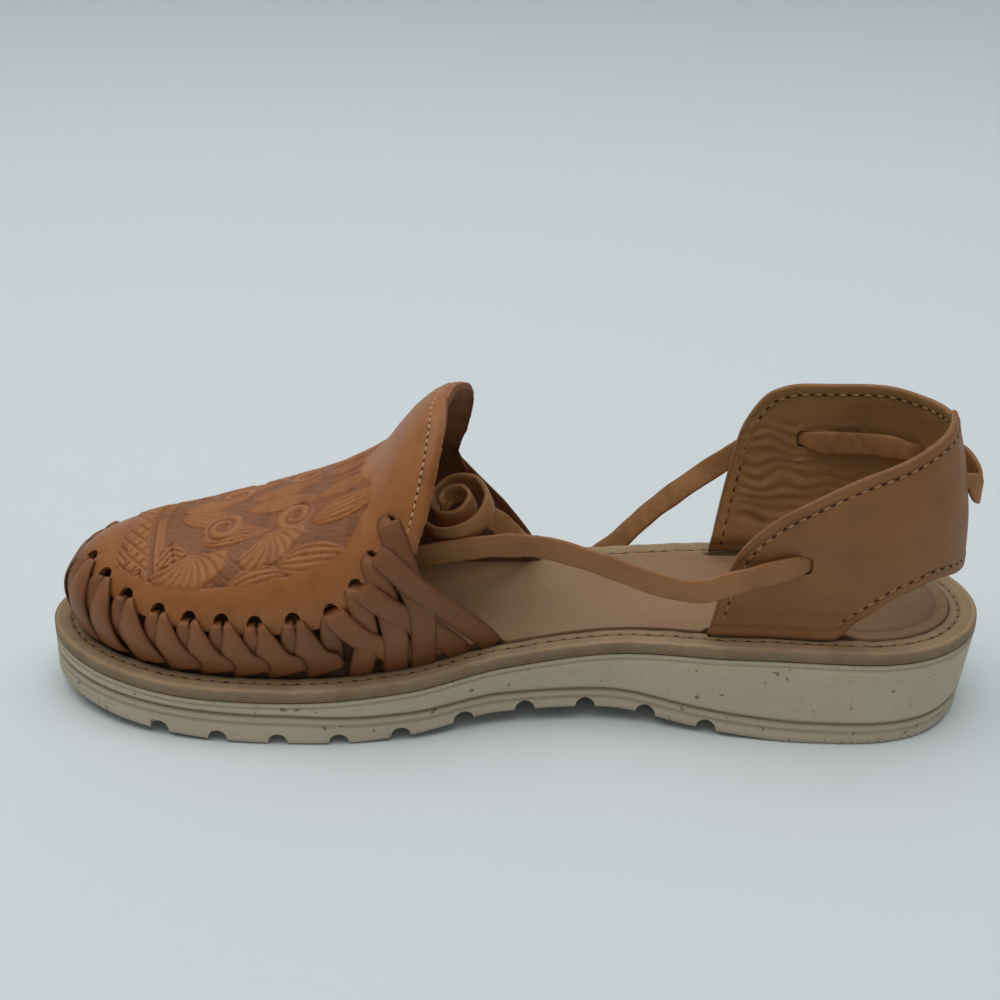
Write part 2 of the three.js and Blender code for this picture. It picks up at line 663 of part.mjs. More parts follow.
// Room that the strips leave over and beside the welt
function weltRoom() {
  const ring = (inset, height) => soleLoop(() => inset, height);
  const high = (share) => weltTop(share) + CLEARANCE;
  const low = (share) => weltTop(share) - 2 * WELT_THICKNESS;
  const inner = FOOT_INSET - 0.02;
  return solidOf(loft([ring(-WELT_LEDGE, low), ring(-WELT_LEDGE, high), ring(inner, high), ring(inner, low)], true));
}

function insoleRoom() {
  const inset = (share, turn) => insoleInset(share, turn) - CLEARANCE + 0.02;
  const low = (share) => weltTop(share) - 2 * WELT_THICKNESS;
  const high = (share) => weltTop(share) + INSOLE_RISE + CLEARANCE;
  return solidOf(loft([soleLoop(inset, low), soleLoop(inset, high)]));
}

// Fills the small hollows that strips close in where they cross: their surfaces face inwards
function filled(body) {
  return wasm.Manifold.compose(body.decompose().filter((piece) => piece.volume() > 0));
}

function buildUpper() {
  let body = vampShell();
  for (const side of [1, -1]) {
    SLOTS.forEach((slot) => {
      body = body.subtract(slotCutter(side, slot));
    });
    GAPS.forEach((corners) => {
      body = body.subtract(gapCutter(side, corners));
    });
    SLOTS.slice(0, SHINGLES - 1).forEach(({ share, rise, foot }, i) => {
      const gap = [[share - 0.006, 0.085], [share - 0.024, 0.025], [share - 0.018, 0.095]];
      if (i > 1) body = body.subtract(gapCutter(side, gap));
      const middle = [(share + foot) / 2 + LEAF_TURN_IN, rise * 0.48, 1.3];
      const leaf = [[share + 0.005, rise - 0.015, 1.0], middle, [foot, 0.012, 1.1]];
      body = body.add(strip(side, leaf, LEAF_WIDTH, [0.3, 1, 1.05]));
    });
    CROSSINGS.forEach(({ width, way }) => {
      body = body.add(strip(side, way, STRIP_WIDTH * width, [0.85, 1, 1, 0.9], 3));
    });
  }
  return geometryOf(filled(body).subtract(weltRoom()).subtract(insoleRoom()));
}

// Heel strap: one band from the inner to the outer front corner round the heel
function strapPoint(turn, height, depth) {
  const back = Math.cos(turn) ** 4;
  const part = height / STRAP_HEIGHT;
  const flare = flareBack(part) * back + flareSide(part) * (1 - back);
  const p = edgePoint(turn, FOOT_INSET - flare + depth);
  return new THREE.Vector3(p.x, p.y, weltTop(shareAt(p.x)) + height);
}

const STRAP_STATIONS = 28;
const STRAP_ROWS = 5;

function strapBand() {
  const sunk = WELT_THICKNESS - CLEARANCE;
  const loops = [];
  for (let i = 0; i <= STRAP_STATIONS; i += 1) {
    const way = Math.sin((Math.PI / 2) * ((2 * i) / STRAP_STATIONS - 1));
    const turn = way * turnOfShare(strapFront(way));
    const at = Math.abs(way);
    const share = strapLow(at);
    const low = share * STRAP_HEIGHT - sunk * clamp(1 - share / 0.03);
    const high = STRAP_HEIGHT * (way > 0 ? strapInner(at) : strapOuter(at));
    const floor = low < 0 ? 0.2 : low + (high - low) / STRAP_ROWS;
    const outside = [];
    const inside = [];
    for (let j = 0; j <= STRAP_ROWS; j += 1) {
      const height = j === 0 ? low : floor + ((high - floor) * (j - 1)) / (STRAP_ROWS - 1);
      outside.push(strapPoint(turn, height, 0));
      inside.unshift(strapPoint(turn, height, STRAP_WALL));
    }
    loops.push([...outside, ...inside]);
  }
  return solidOf(loft(loops));
}

// Point beside the strap at a way from the back (minus on the outer side) and a share of its height
function strapPlace(way, share, depth) {
  return strapPoint(way * turnOfShare(strapFront(way)), share * STRAP_HEIGHT, depth);
}

function strapSlotCutter({ way, share }) {
  const half = STRAP_SLOT_LENGTH / 2 / STRAP_HEIGHT;
  const wide = STRAP_SLOT_WIDTH / 2 / (SOLE_LENGTH * STRAP_FRONT);
  const shoulder = half * 0.8;
  const foot = [[-wide, -shoulder], [0, -half], [wide, -shoulder]];
  const head = [[wide, shoulder], [0, half], [-wide, shoulder]];
  const corners = [...foot, ...head];
  const loops = [-CUT_REACH, CUT_REACH + STRAP_WALL].map((depth) => corners.map(
    ([along, up]) => strapPlace(way + along, share + up, depth),
  ));
  return solidOf(loft(loops));
}

function buildStrap() {
  let body = strapBand();
  STRAP_SLOTS.forEach((slot) => {
    body = body.subtract(strapSlotCutter(slot));
  });
  return geometryOf(body);
}

// Lace: a flat thong along points, with its broad side along the given direction where it starts
function lace(points, broad, steps) {
  const path = new THREE.CatmullRomCurve3(points);
  const frames = path.computeFrenetFrames(steps, false);
  const flat = Math.abs(frames.normals[0].dot(broad)) > Math.abs(frames.binormals[0].dot(broad));
  const shape = new THREE.Shape();
  for (let i = 0; i < LACE_SIDES; i += 1) {
    const angle = ((i + 0.5) * 2 * Math.PI) / LACE_SIDES;
    const x = (flat ? LACE_WIDTH : LACE_THICKNESS) * 0.5 * Math.cos(angle);
    const y = (flat ? LACE_THICKNESS : LACE_WIDTH) * 0.5 * Math.sin(angle);
    if (i === 0) shape.moveTo(x, y);
    else shape.lineTo(x, y);
  }
  shape.closePath();
  return new THREE.ExtrudeGeometry(shape, { steps, extrudePath: path, bevelEnabled: false });
}

const at = (x, y, z) => new THREE.Vector3(x, y, z);
const UPRIGHT = at(0, 0, 1);
const CROSSWISE = at(0, 1, 0);
const OUTSIDE = -CLEARANCE - LACE_THICKNESS / 2 - 0.2;
const INSIDE = STRAP_WALL - OUTSIDE;

// From the inner slot through the air into the throat
function laceNear() {
  const slot = STRAP_SLOTS[0];
  return [
    strapPlace(slot.way + 0.02, slot.share, OUTSIDE),
    strapPlace(slot.way + 0.09, slot.share - 0.01, OUTSIDE - 0.6),
    at(-59.4, 29.0, 46.2),
    at(-50.6, 28.5, 44.2),
    at(-40.4, 26.0, 43.1),
    at(-29.9, 23.0, 45.6),
    at(-19.4, 19.0, 47.3),
    at(-8.7, 15.0, 47.9),
    at(2.2, 12.5, 46.7),
    at(11.0, 12.8, 45.6),
    at(16.0, 13.2, 44.8),
    at(21.0, 13.8, 43.5),
  ];
}

// Rolled loop in the throat: out from under the vamp, back over itself and round once more inside
function laceLoop() {
  return [
    at(21.0, 7.4, 46.4),
    at(14.5, 6.6, 47.8),
    at(8.6, 5.0, 50.6),
    at(5.6, 2.8, 54.8),
    at(6.8, 0.4, 59.4),
    at(11.4, -1.4, 62.2),
    at(17.2, -2.6, 62.2),
    at(21.6, -3.6, 58.8),
    at(22.4, -4.4, 54.0),
    at(19.8, -5.0, 50.2),
    at(15.4, -5.2, 49.2),
    at(11.6, -4.8, 51.8),
    at(11.6, -4.2, 55.6),
    at(15.2, -3.8, 57.4),
  ];
}

// From the outer slot down past the outer side of the waist and back over the welt, up to the throat
function laceFar() {
  const slot = STRAP_SLOTS[1];
  return [
    strapPlace(slot.way - 0.02, slot.share, OUTSIDE),
    strapPlace(slot.way - 0.09, slot.share - 0.03, OUTSIDE - 0.4),
    at(-60.7, -33.0, 54.5),
    at(-52.0, -35.0, 47.0),
    at(-41.0, -37.5, 36.5),
    at(-34.0, -39.3, 28.5),
    at(-28.3, -40.3, 21.5),
    at(-22.0, -40.8, 17.0),
    at(-16.0, -41.0, 16.0),
    at(-11.5, -40.6, 19.5),
    at(-10.0, -37.2, 25.6),
    at(-9.5, -30.0, 26.8),
    at(-7.5, -22.0, 29.5),
    at(-4.0, -15.0, 34.0),
    at(-1.0, -10.0, 39.5),
    at(2.0, -7.0, 45.0),
  ];
}

// Lace along the strap's face between two slots, at a depth from the outer face
function laceBeside(from, to, depth) {
  const points = [];
  for (let i = 0; i <= 6; i += 1) {
    const t = i / 6;
    points.push(strapPlace(
      THREE.MathUtils.lerp(from.way, to.way, t),
      THREE.MathUtils.lerp(from.share, to.share, t),
      depth,
    ));
  }
  return points;
}

addPart('sole', buildSole(), 0xbebba9, 0.7);
addPart('welt', buildWelt(), 0x826e55, 0.75);
addPart('insole', buildInsole(), 0xaa8264, 0.6);
addPart('upper', buildUpper(), 0x9b643c, 0.5);
addPart('heel_strap', buildStrap(), 0x7d563c, 0.55);
const middle = new THREE.Box3().setFromObject(sandal).getCenter(at(0, 0, 0));

const LACE_COLOUR = 0x96694a;
const [innerSlot, outerSlot, backSlot, cornerSlot] = STRAP_SLOTS;
addPart('lace_near_run', lace(laceNear(), UPRIGHT, 18), LACE_COLOUR, 0.6);
addPart('lace_loop', lace(laceLoop(), CROSSWISE, 20), LACE_COLOUR, 0.6);
addPart('lace_far_run', lace(laceFar(), UPRIGHT, 24), LACE_COLOUR, 0.6);
addPart('lace_inner_bar', lace(laceBeside(innerSlot, backSlot, INSIDE), UPRIGHT, 10), LACE_COLOUR, 0.6);
addPart('lace_outer_bar', lace(laceBeside(outerSlot, cornerSlot, INSIDE), UPRIGHT, 8), LACE_COLOUR, 0.6);
addPart('lace_back_bar', lace(laceBeside(backSlot, cornerSlot, OUTSIDE), UPRIGHT, 7), LACE_COLOUR, 0.6);

// The origin stands under the middle of the sandal's width
sandal.children.forEach((mesh) => mesh.geometry.translate(0, -middle.y, 0));

export default sandal;
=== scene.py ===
"""Huarache sandal for the right foot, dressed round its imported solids.

Lengths in the classes are millimetres with the toe at +X, the inner side at +Y and +Z up; place() turns them into
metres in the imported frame. Turns run round the sole: 0 at the heel, along the inner side to pi at the toe and back.
"""

import logging
import math
from dataclasses import dataclass, field
from enum import Enum

import bmesh
import bpy
import numpy as np
from mathutils import Matrix, Vector


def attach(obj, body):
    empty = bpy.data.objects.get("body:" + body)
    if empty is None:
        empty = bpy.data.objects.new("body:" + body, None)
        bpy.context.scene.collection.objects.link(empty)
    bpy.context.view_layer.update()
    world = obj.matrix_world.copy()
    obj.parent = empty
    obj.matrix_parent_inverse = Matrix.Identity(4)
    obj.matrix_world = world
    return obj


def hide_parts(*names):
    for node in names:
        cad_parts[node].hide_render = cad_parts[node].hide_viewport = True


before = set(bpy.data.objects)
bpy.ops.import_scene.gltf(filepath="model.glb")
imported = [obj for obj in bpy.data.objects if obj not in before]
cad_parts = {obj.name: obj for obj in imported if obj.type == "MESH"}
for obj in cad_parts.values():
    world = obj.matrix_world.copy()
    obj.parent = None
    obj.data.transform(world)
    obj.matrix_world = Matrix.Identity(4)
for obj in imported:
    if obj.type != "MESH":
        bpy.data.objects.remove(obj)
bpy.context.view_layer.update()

log = logging.getLogger("sandal")
MILLIMETRE = 0.001
MIDDLE_Y = -2.3613
MIX_SHARE, MIX_FIRST, MIX_SECOND, MIX_RESULT = 0, 6, 7, 2
Array = np.ndarray


class Side(Enum):
    """Side of the foot."""

    INNER = 1
    OUTER = -1


# Maths shared by the pieces


class Curve:
    """Monotone cubic through a short table of values."""

    def __init__(self, at: list[float], value: list[float]) -> None:
        """Keeps the table and its tangents: the harmonic mean of neighbouring slopes, 0 at a turn.

        Args:
            at: places along the curve, rising.
            value: the value at each place.
        """
        self.at = np.asarray(at, float)
        self.value = np.asarray(value, float)
        slope = np.diff(self.value) / np.diff(self.at)
        before, after = slope[:-1], slope[1:]
        safe = np.where(before * after > 0, before * after, 1.0)
        total = np.where(before + after == 0, 1.0, before + after)
        inside = np.where(before * after > 0, 2 * safe / total, 0.0)
        self.tangent = np.concatenate([slope[:1], inside, slope[-1:]])

    def __call__(self, at: Array | float) -> Array:
        """Value at the given places, held constant past both ends.

        Args:
            at: places along the curve.

        Returns:
            The values, in the shape of at.
        """
        a = np.clip(at, self.at[0], self.at[-1])
        i = np.clip(np.searchsorted(self.at, a, side="right") - 1, 0, len(self.at) - 2)
        h = self.at[i + 1] - self.at[i]
        t = (a - self.at[i]) / h
        ends = (2 * t**3 - 3 * t**2 + 1) * self.value[i] + (3 * t**2 - 2 * t**3) * self.value[i + 1]
        slopes = (t**3 - 2 * t**2 + t) * self.tangent[i] + (t**3 - t**2) * self.tangent[i + 1]
        return ends + h * slopes


def unit(v: Array) -> Array:
    """Vectors of length 1 along the last axis."""
    return v / np.maximum(np.linalg.norm(v, axis=-1, keepdims=True), 1e-12)


def smooth(low: float, high: float, value: Array) -> Array:
    """Smooth step: 0 under low, 1 over high, 3t^2 - 2t^3 between."""
    t = np.clip((value - low) / (high - low), 0, 1)
    return t * t * (3 - 2 * t)


def bell(distance: Array, width: float) -> Array:
    """Bell curve: 1 at no distance, and 0.37 at a width."""
    return np.exp(-((distance / width) ** 2))


def rounded(count: int, broad: float, tall: float) -> tuple[Array, Array]:
    """Section between an ellipse and a box.

    Args:
        count: points round it.
        broad: power of its broad coordinate, which squares it off where it is small.
        tall: power of its tall coordinate.

    Returns:
        Both coordinates from -1 to 1, each as one row.
    """
    angle = np.linspace(0, 2 * np.pi, count, endpoint=False)[None, :]
    across, up = np.cos(angle), np.sin(angle)
    return np.sign(across) * np.abs(across) ** broad, np.sign(up) * np.abs(up) ** tall


def ripple(x: Array, y: Array, seed: int, waves: int = 7) -> Array:
    """Soft uneven field from -1 to 1: a sum of plane waves whose directions and phases come from the seed.

    Args:
        x: first coordinate, with about one wave for each unit.
        y: second coordinate.
        seed: number that fixes the directions and phases.
        waves: how many waves are added.

    Returns:
        The field's value at each point.
    """
    draw = np.random.default_rng(seed)
    total = np.zeros(np.broadcast(x, y).shape)
    for _ in range(waves):
        angle, phase, pitch = draw.uniform(0, 2 * np.pi), draw.uniform(0, 2 * np.pi), draw.uniform(0.6, 1.5)
        total += np.sin(2 * np.pi * pitch * (x * np.cos(angle) + y * np.sin(angle)) + phase)
    return total / math.sqrt(2 * waves)


def spline(points: Array, count: int) -> Array:
    """Uniform Catmull-Rom curve through points, of any dimension, with its ends held.

    Args:
        points: the control points, one a row.
        count: how many points to return, even in the curve's own parameter.

    Returns:
        Points on the curve, one a row.
    """
    p = np.asarray(points, float)
    p = np.vstack([2 * p[0] - p[1], p, 2 * p[-1] - p[-2]])
    t = np.linspace(0, len(p) - 3 - 1e-9, count)
    i = t.astype(int)
    f = (t - i)[:, None]
    a, b, c, d = p[i], p[i + 1], p[i + 2], p[i + 3]
    return 0.5 * (2 * b + (c - a) * f + (2 * a - 5 * b + 4 * c - d) * f**2 + (3 * b - a - 3 * c + d) * f**3)


def even(points: Array, pitch: float) -> Array:
    """The same line with its points one pitch apart, by linear interpolation over its length."""
    length = np.concatenate([[0], np.cumsum(np.linalg.norm(np.diff(points[:, :3], axis=0), axis=1))])
    at = np.linspace(0, length[-1], max(int(round(length[-1] / pitch)) + 1, 2))
    return np.stack([np.interp(at, length, points[:, k]) for k in range(points.shape[1])], 1)


def grid_faces(rows: int, columns: int, wrap_rows: bool = False, wrap_columns: bool = False) -> Array:
    """Quads of a grid whose vertices are stored row by row.

    Args:
        rows: number of rows of vertices.
        columns: number of vertices in a row.
        wrap_rows: closes the last row on the first.
        wrap_columns: closes the last column on the first.

    Returns:
        Vertex numbers, four a face.
    """
    i = np.arange(rows if wrap_rows else rows - 1)[:, None]
    j = np.arange(columns if wrap_columns else columns - 1)[None, :]
    a = i * columns + j
    b = ((i + 1) % rows) * columns + j
    c = ((i + 1) % rows) * columns + (j + 1) % columns
    d = i * columns + (j + 1) % columns
    return np.stack([a, b, c, d], -1).reshape(-1, 4)


def place(points: Array) -> Array:
    """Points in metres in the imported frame."""
    return (np.asarray(points, float).reshape(-1, 3) - np.array([0, MIDDLE_Y, 0])) * MILLIMETRE


@dataclass
class Shell:
    """Vertices, faces, face materials and named values of a mesh in the making."""

    points: list[Array] = field(default_factory=list)
    faces: list[Array] = field(default_factory=list)
    slots: list[Array] = field(default_factory=list)
    values: dict[str, list[Array]] = field(default_factory=dict)
    count: int = 0

    def add(self, points: Array, faces: Array, slot: int | Array = 0, **values: Array | float) -> None:
        """Adds a patch.

        Args:
            points: its vertices in millimetres.
            faces: its quads, or triangles as quads that repeat a vertex.
            slot: material slot, one for all faces or one for each.
            values: vertex values by name, one for all vertices or one for each.
        """
        flat = np.asarray(points, float).reshape(-1, 3)
        self.points.append(flat)
        self.faces.append(np.asarray(faces).reshape(-1, 4) + self.count)
        self.slots.append(np.broadcast_to(np.asarray(slot), (len(self.faces[-1]),)))
        for name, value in values.items():
            self.values.setdefault(name, []).append((self.count, np.broadcast_to(np.ravel(value), (len(flat),))))
        self.count += len(flat)

    def tube(self, points: Array, slot: int | Array = 0, on_tip: bool = False, **values: Array | float) -> None:
        """Adds a closed tube whose two end rings are filled with quads from side to side.

        Args:
            points: its vertices, one ring a row, with an even number in each.
            slot: material slot of the wall, one for all faces or one for each.
            on_tip: whether a ring's first vertex lies on its tip, and not beside it.
            values: vertex values by name.
        """
        rows, count = points.shape[:2]
        first = self.count
        self.add(points, grid_faces(rows, count, wrap_columns=True), slot, **values)
        i = np.arange(count // 2 if on_tip else count // 2 - 1)
        if on_tip:
            quads = np.stack([i, (count - i) % count, count - i - 1, i + 1], 1)
        else:
            quads = np.stack([i, i + 1, count - 2 - i, count - 1 - i], 1)
        for start, ends in ((0, quads[:, ::-1]), ((rows - 1) * count, quads)):
            self.faces.append(first + start + ends)
            self.slots.append(np.zeros(len(ends), int))

    def prism(self, ends: list[Array], slot: int, **values: Array | float) -> None:
        """Adds a closed prism between two rings with the same number of points.

        Args:
            ends: the two rings, one point a row.
            slot: material slot.
            values: vertex values by name.
        """
        n = len(ends[0])
        faces = [[i, (i + 1) % n, n + (i + 1) % n, n + i] for i in range(n)]
        for first in (0, n):
            faces += [[first, first + i, first + i + 1, first] for i in range(1, n - 1)]
        self.add(np.vstack(ends), np.array(faces), slot, **values)

    def build(self, name: str, materials: list[bpy.types.Material], sharp: float = 50.0) -> bpy.types.Object:
        """Makes the mesh object, at the origin, smooth but for edges sharper than an angle.

        Args:
            name: the piece's name.
            materials: its material slots.
            sharp: angle in degrees past which an edge stays sharp.

        Returns:
            The object.
        """
        faces = np.concatenate(self.faces)
        slots = np.concatenate(self.slots)
        rows = [list(dict.fromkeys(row)) for row in faces.tolist()]
        kept = [k for k, row in enumerate(rows) if len(row) > 2]
        mesh = bpy.data.meshes.new(name)
        mesh.from_pydata(place(np.concatenate(self.points)).tolist(), [], [rows[k] for k in kept])
        mesh.polygons.foreach_set("material_index", slots[kept].astype(np.int32))
        for key, parts in self.values.items():
            data = np.zeros(self.count, np.float32)
            for start, value in parts:
                data[start:start + len(value)] = value
            mesh.attributes.new(key, "FLOAT", "POINT").data.foreach_set("value", data)
        for material in materials:
            mesh.materials.append(material)
        mesh.polygons.foreach_set("use_smooth", np.ones(len(mesh.polygons), bool))
        mesh.set_sharp_from_angle(angle=math.radians(sharp))
        mesh.update()
        piece = bpy.data.objects.new(name, mesh)
        bpy.context.scene.collection.objects.link(piece)
        return piece


def outward(piece: bpy.types.Object) -> bpy.types.Object:
    """Turns the faces of closed shells outwards."""
    bm = bmesh.new()
    bm.from_mesh(piece.data)
    bmesh.ops.recalc_face_normals(bm, faces=bm.faces)
    bm.to_mesh(piece.data)
    bm.free()
    return piece


def carve(piece: bpy.types.Object, cutters: bpy.types.Object, sharp: float) -> None:
    """Cuts closed shells out of a piece for good.

    Args:
        piece: the piece.
        cutters: the shells, which are removed afterwards.
        sharp: angle in degrees past which an edge stays sharp.
    """
    cut = piece.modifiers.new("cut", "BOOLEAN")
    cut.object = cutters
    cut.operation = "DIFFERENCE"
    cut.solver = "EXACT"
    graph = bpy.context.evaluated_depsgraph_get()
    done = bpy.data.meshes.new_from_object(piece.evaluated_get(graph))
    piece.modifiers.clear()
    old = piece.data
    piece.data = done
    bpy.data.meshes.remove(old)
    bpy.data.objects.remove(cutters)
    piece.data.set_sharp_from_angle(angle=math.radians(sharp))


# Finishes


def linear(srgb: tuple[int, int, int]) -> tuple[float, float, float, float]:
    """Linear colour with alpha from 8-bit sRGB."""
    c = np.array(srgb) / 255
    out = np.where(c <= 0.04045, c / 12.92, ((c + 0.055) / 1.055) ** 2.4)
    return (*map(float, out), 1.0)


@dataclass(frozen=True)
class Finish:
    """Leather, cord or moulded rubber: a blotched colour, marks, painted shade and painted highlights from the mesh's
    own values, grain and wear.
    """

    name: str
    base: tuple[int, int, int]
    blotch: tuple[int, int, int]
    dark: tuple[int, int, int]
    light: tuple[int, int, int]
    roughness: float = 0.5
    blotch_size: float = 22.0
    blotch_share: float = 0.6
    grain_size: float = 0.8
    grain_depth: float = 0.06
    fleck: float = 0.0
    sheen: float = 0.0

    def build(self) -> bpy.types.Material:
        """Makes the node material.

        Object coordinates drive a broad and a fine noise for the colour and a cell pattern for the grain. The mesh
        values dark and light mix in the two other colours, where a piece carries them; they carry painted shade and
        painted highlights as well as marks of the thing's own colour.

        Returns:
            The material.
        """
        material = bpy.data.materials.new(self.name)
        material.use_nodes = True
        nodes, links = material.node_tree.nodes, material.node_tree.links
        shader = nodes["Principled BSDF"]
        place_node = nodes.new("ShaderNodeTexCoord")

        def noise(size: float, detail: float, rough: float = 0.55) -> bpy.types.Node:
            """Noise over object space whose features are about size millimetres."""
            node = nodes.new("ShaderNodeTexNoise")
            node.inputs["Scale"].default_value = 1 / (size * MILLIMETRE)
            node.inputs["Detail"].default_value = detail
            node.inputs["Roughness"].default_value = rough
            links.new(place_node.outputs["Object"], node.inputs["Vector"])
            return node

        def ranged(socket: bpy.types.NodeSocket, low: float, high: float, top: float) -> bpy.types.NodeSocket:
            """Maps low..high to 0..top, held inside."""
            node = nodes.new("ShaderNodeMapRange")
            node.inputs["From Min"].default_value = low
            node.inputs["From Max"].default_value = high
            node.inputs["To Max"].default_value = top
            links.new(socket, node.inputs["Value"])
            return node.outputs["Result"]

        def mixed(first: object, second: tuple[int, int, int], share: bpy.types.NodeSocket) -> bpy.types.NodeSocket:
            """Mixes a fixed colour over the first by a share."""
            node = nodes.new("ShaderNodeMix")
            node.data_type = "RGBA"
            if isinstance(first, tuple):
                node.inputs[MIX_FIRST].default_value = linear(first)
            else:
                links.new(first, node.inputs[MIX_FIRST])
            node.inputs[MIX_SECOND].default_value = linear(second)
            links.new(share, node.inputs[MIX_SHARE])
            return node.outputs[MIX_RESULT]

        def value(name: str) -> bpy.types.NodeSocket:
            """Vertex value of the mesh by name."""
            node = nodes.new("ShaderNodeAttribute")
            node.attribute_name = name
            return node.outputs["Fac"]

        broad = noise(self.blotch_size, 3)
        colour = mixed(self.base, self.blotch, ranged(broad.outputs["Fac"], 0.38, 0.68, self.blotch_share))
        fine = noise(1.6, 4, 0.7)
        colour = mixed(colour, self.dark, ranged(fine.outputs["Fac"], 0.52, 0.8, 0.22))
        if self.fleck:
            spots = noise(self.fleck, 1)
            colour = mixed(colour, self.dark, ranged(spots.outputs["Fac"], 0.715, 0.74, 0.75))
        # the light value paints highlights and the dark value paints shade, besides real marks such as random tone
        # and joints
        colour = mixed(colour, self.light, value("light"))
        colour = mixed(colour, self.dark, value("dark"))
        links.new(colour, shader.inputs["Base Color"])

        grain = nodes.new("ShaderNodeTexVoronoi")
        grain.inputs["Scale"].default_value = 1 / (self.grain_size * MILLIMETRE)
        links.new(place_node.outputs["Object"], grain.inputs["Vector"])
        total = nodes.new("ShaderNodeMath")
        total.operation = "MULTIPLY_ADD"
        total.inputs[1].default_value = 0.5
        links.new(grain.outputs["Distance"], total.inputs[0])
        links.new(fine.outputs["Fac"], total.inputs[2])
        bump = nodes.new("ShaderNodeBump")
        bump.inputs["Strength"].default_value = 0.55
        bump.inputs["Distance"].default_value = self.grain_depth * MILLIMETRE
        links.new(total.outputs[0], bump.inputs["Height"])
        links.new(bump.outputs["Normal"], shader.inputs["Normal"])

        wear = ranged(fine.outputs["Fac"], 0.3, 0.75, 1.0)
        spread = nodes.new("ShaderNodeMapRange")
        spread.inputs["To Min"].default_value = self.roughness - 0.06
        spread.inputs["To Max"].default_value = self.roughness + 0.08
        links.new(wear, spread.inputs["Value"])
        links.new(spread.outputs["Result"], shader.inputs["Roughness"])
        shader.inputs["Specular IOR Level"].default_value = 0.35
        shader.inputs["Sheen Weight"].default_value = self.sheen
        return material


FINISHES = {
    "vamp": Finish("vamp_leather", (163, 102, 53), (146, 87, 42), (82, 44, 22), (185, 127, 76), roughness=0.45),
    "strip": Finish("strip_leather", (142, 88, 50), (120, 71, 38), (40, 21, 11), (182, 122, 74), roughness=0.5,
                    blotch_size=12.0),
    "edge": Finish("cut_edge", (150, 102, 62), (122, 80, 46), (84, 52, 30), (186, 140, 98), roughness=0.8,
                   blotch_size=5.0, grain_depth=0.2),
    "suede": Finish("rough_back", (172, 120, 78), (132, 88, 54), (74, 46, 26), (204, 156, 110), roughness=0.92,
                    blotch_size=4.0, grain_size=0.6, grain_depth=0.5, sheen=0.15),
    "strap": Finish("strap_leather", (152, 102, 58), (140, 91, 49), (78, 46, 24), (180, 130, 82), roughness=0.55),
    "lining": Finish("strap_lining", (168, 124, 76), (152, 110, 64), (92, 60, 34), (194, 152, 104), roughness=0.75),
    "lace": Finish("lace_leather", (166, 115, 68), (144, 95, 52), (86, 52, 28), (182, 134, 88), roughness=0.6,
                   blotch_size=14.0),
    "insole": Finish("insole_leather", (150, 117, 86), (138, 104, 74), (92, 62, 40), (170, 138, 104),
                     roughness=0.55, blotch_size=30.0),
    "welt": Finish("welt_leather", (158, 134, 103), (132, 106, 78), (84, 62, 42), (184, 160, 126), roughness=0.72,
                   blotch_size=9.0, grain_depth=0.15),
    "sole": Finish("moulded_sole", (196, 184, 160), (186, 173, 148), (108, 90, 68), (208, 198, 176),
                   roughness=0.62, blotch_size=40.0, grain_size=0.5, grain_depth=0.03, fleck=2.2),
    "thread": Finish("waxed_thread", (206, 178, 130), (186, 156, 110), (120, 92, 60), (222, 200, 160),
                     roughness=0.7, blotch_size=3.0, grain_size=0.3),
    "tan_thread": Finish("tan_thread", (172, 134, 90), (154, 116, 74), (96, 66, 40), (192, 158, 114),
                         roughness=0.7, blotch_size=3.0, grain_size=0.3),
    # hole: dark colour for stitch holes and slot walls, painted shade inside the holes
    "hole": Finish("painted_hole_shade", (66, 40, 24), (52, 31, 18), (34, 20, 12), (78, 50, 32), roughness=0.9),
}


@dataclass
class Palette:
    """Materials by the name of their finish, made when first asked for."""

    made: dict[str, bpy.types.Material] = field(default_factory=dict)

    def __getitem__(self, name: str) -> bpy.types.Material:
        """Material of the named finish."""
        if name not in self.made:
            self.made[name] = FINISHES[name].build()
        return self.made[name]

    def several(self, *names: str) -> list[bpy.types.Material]:
        """Materials of the named finishes, in order."""
        return [self[name] for name in names]


# Last: the surfaces that every piece is laid on


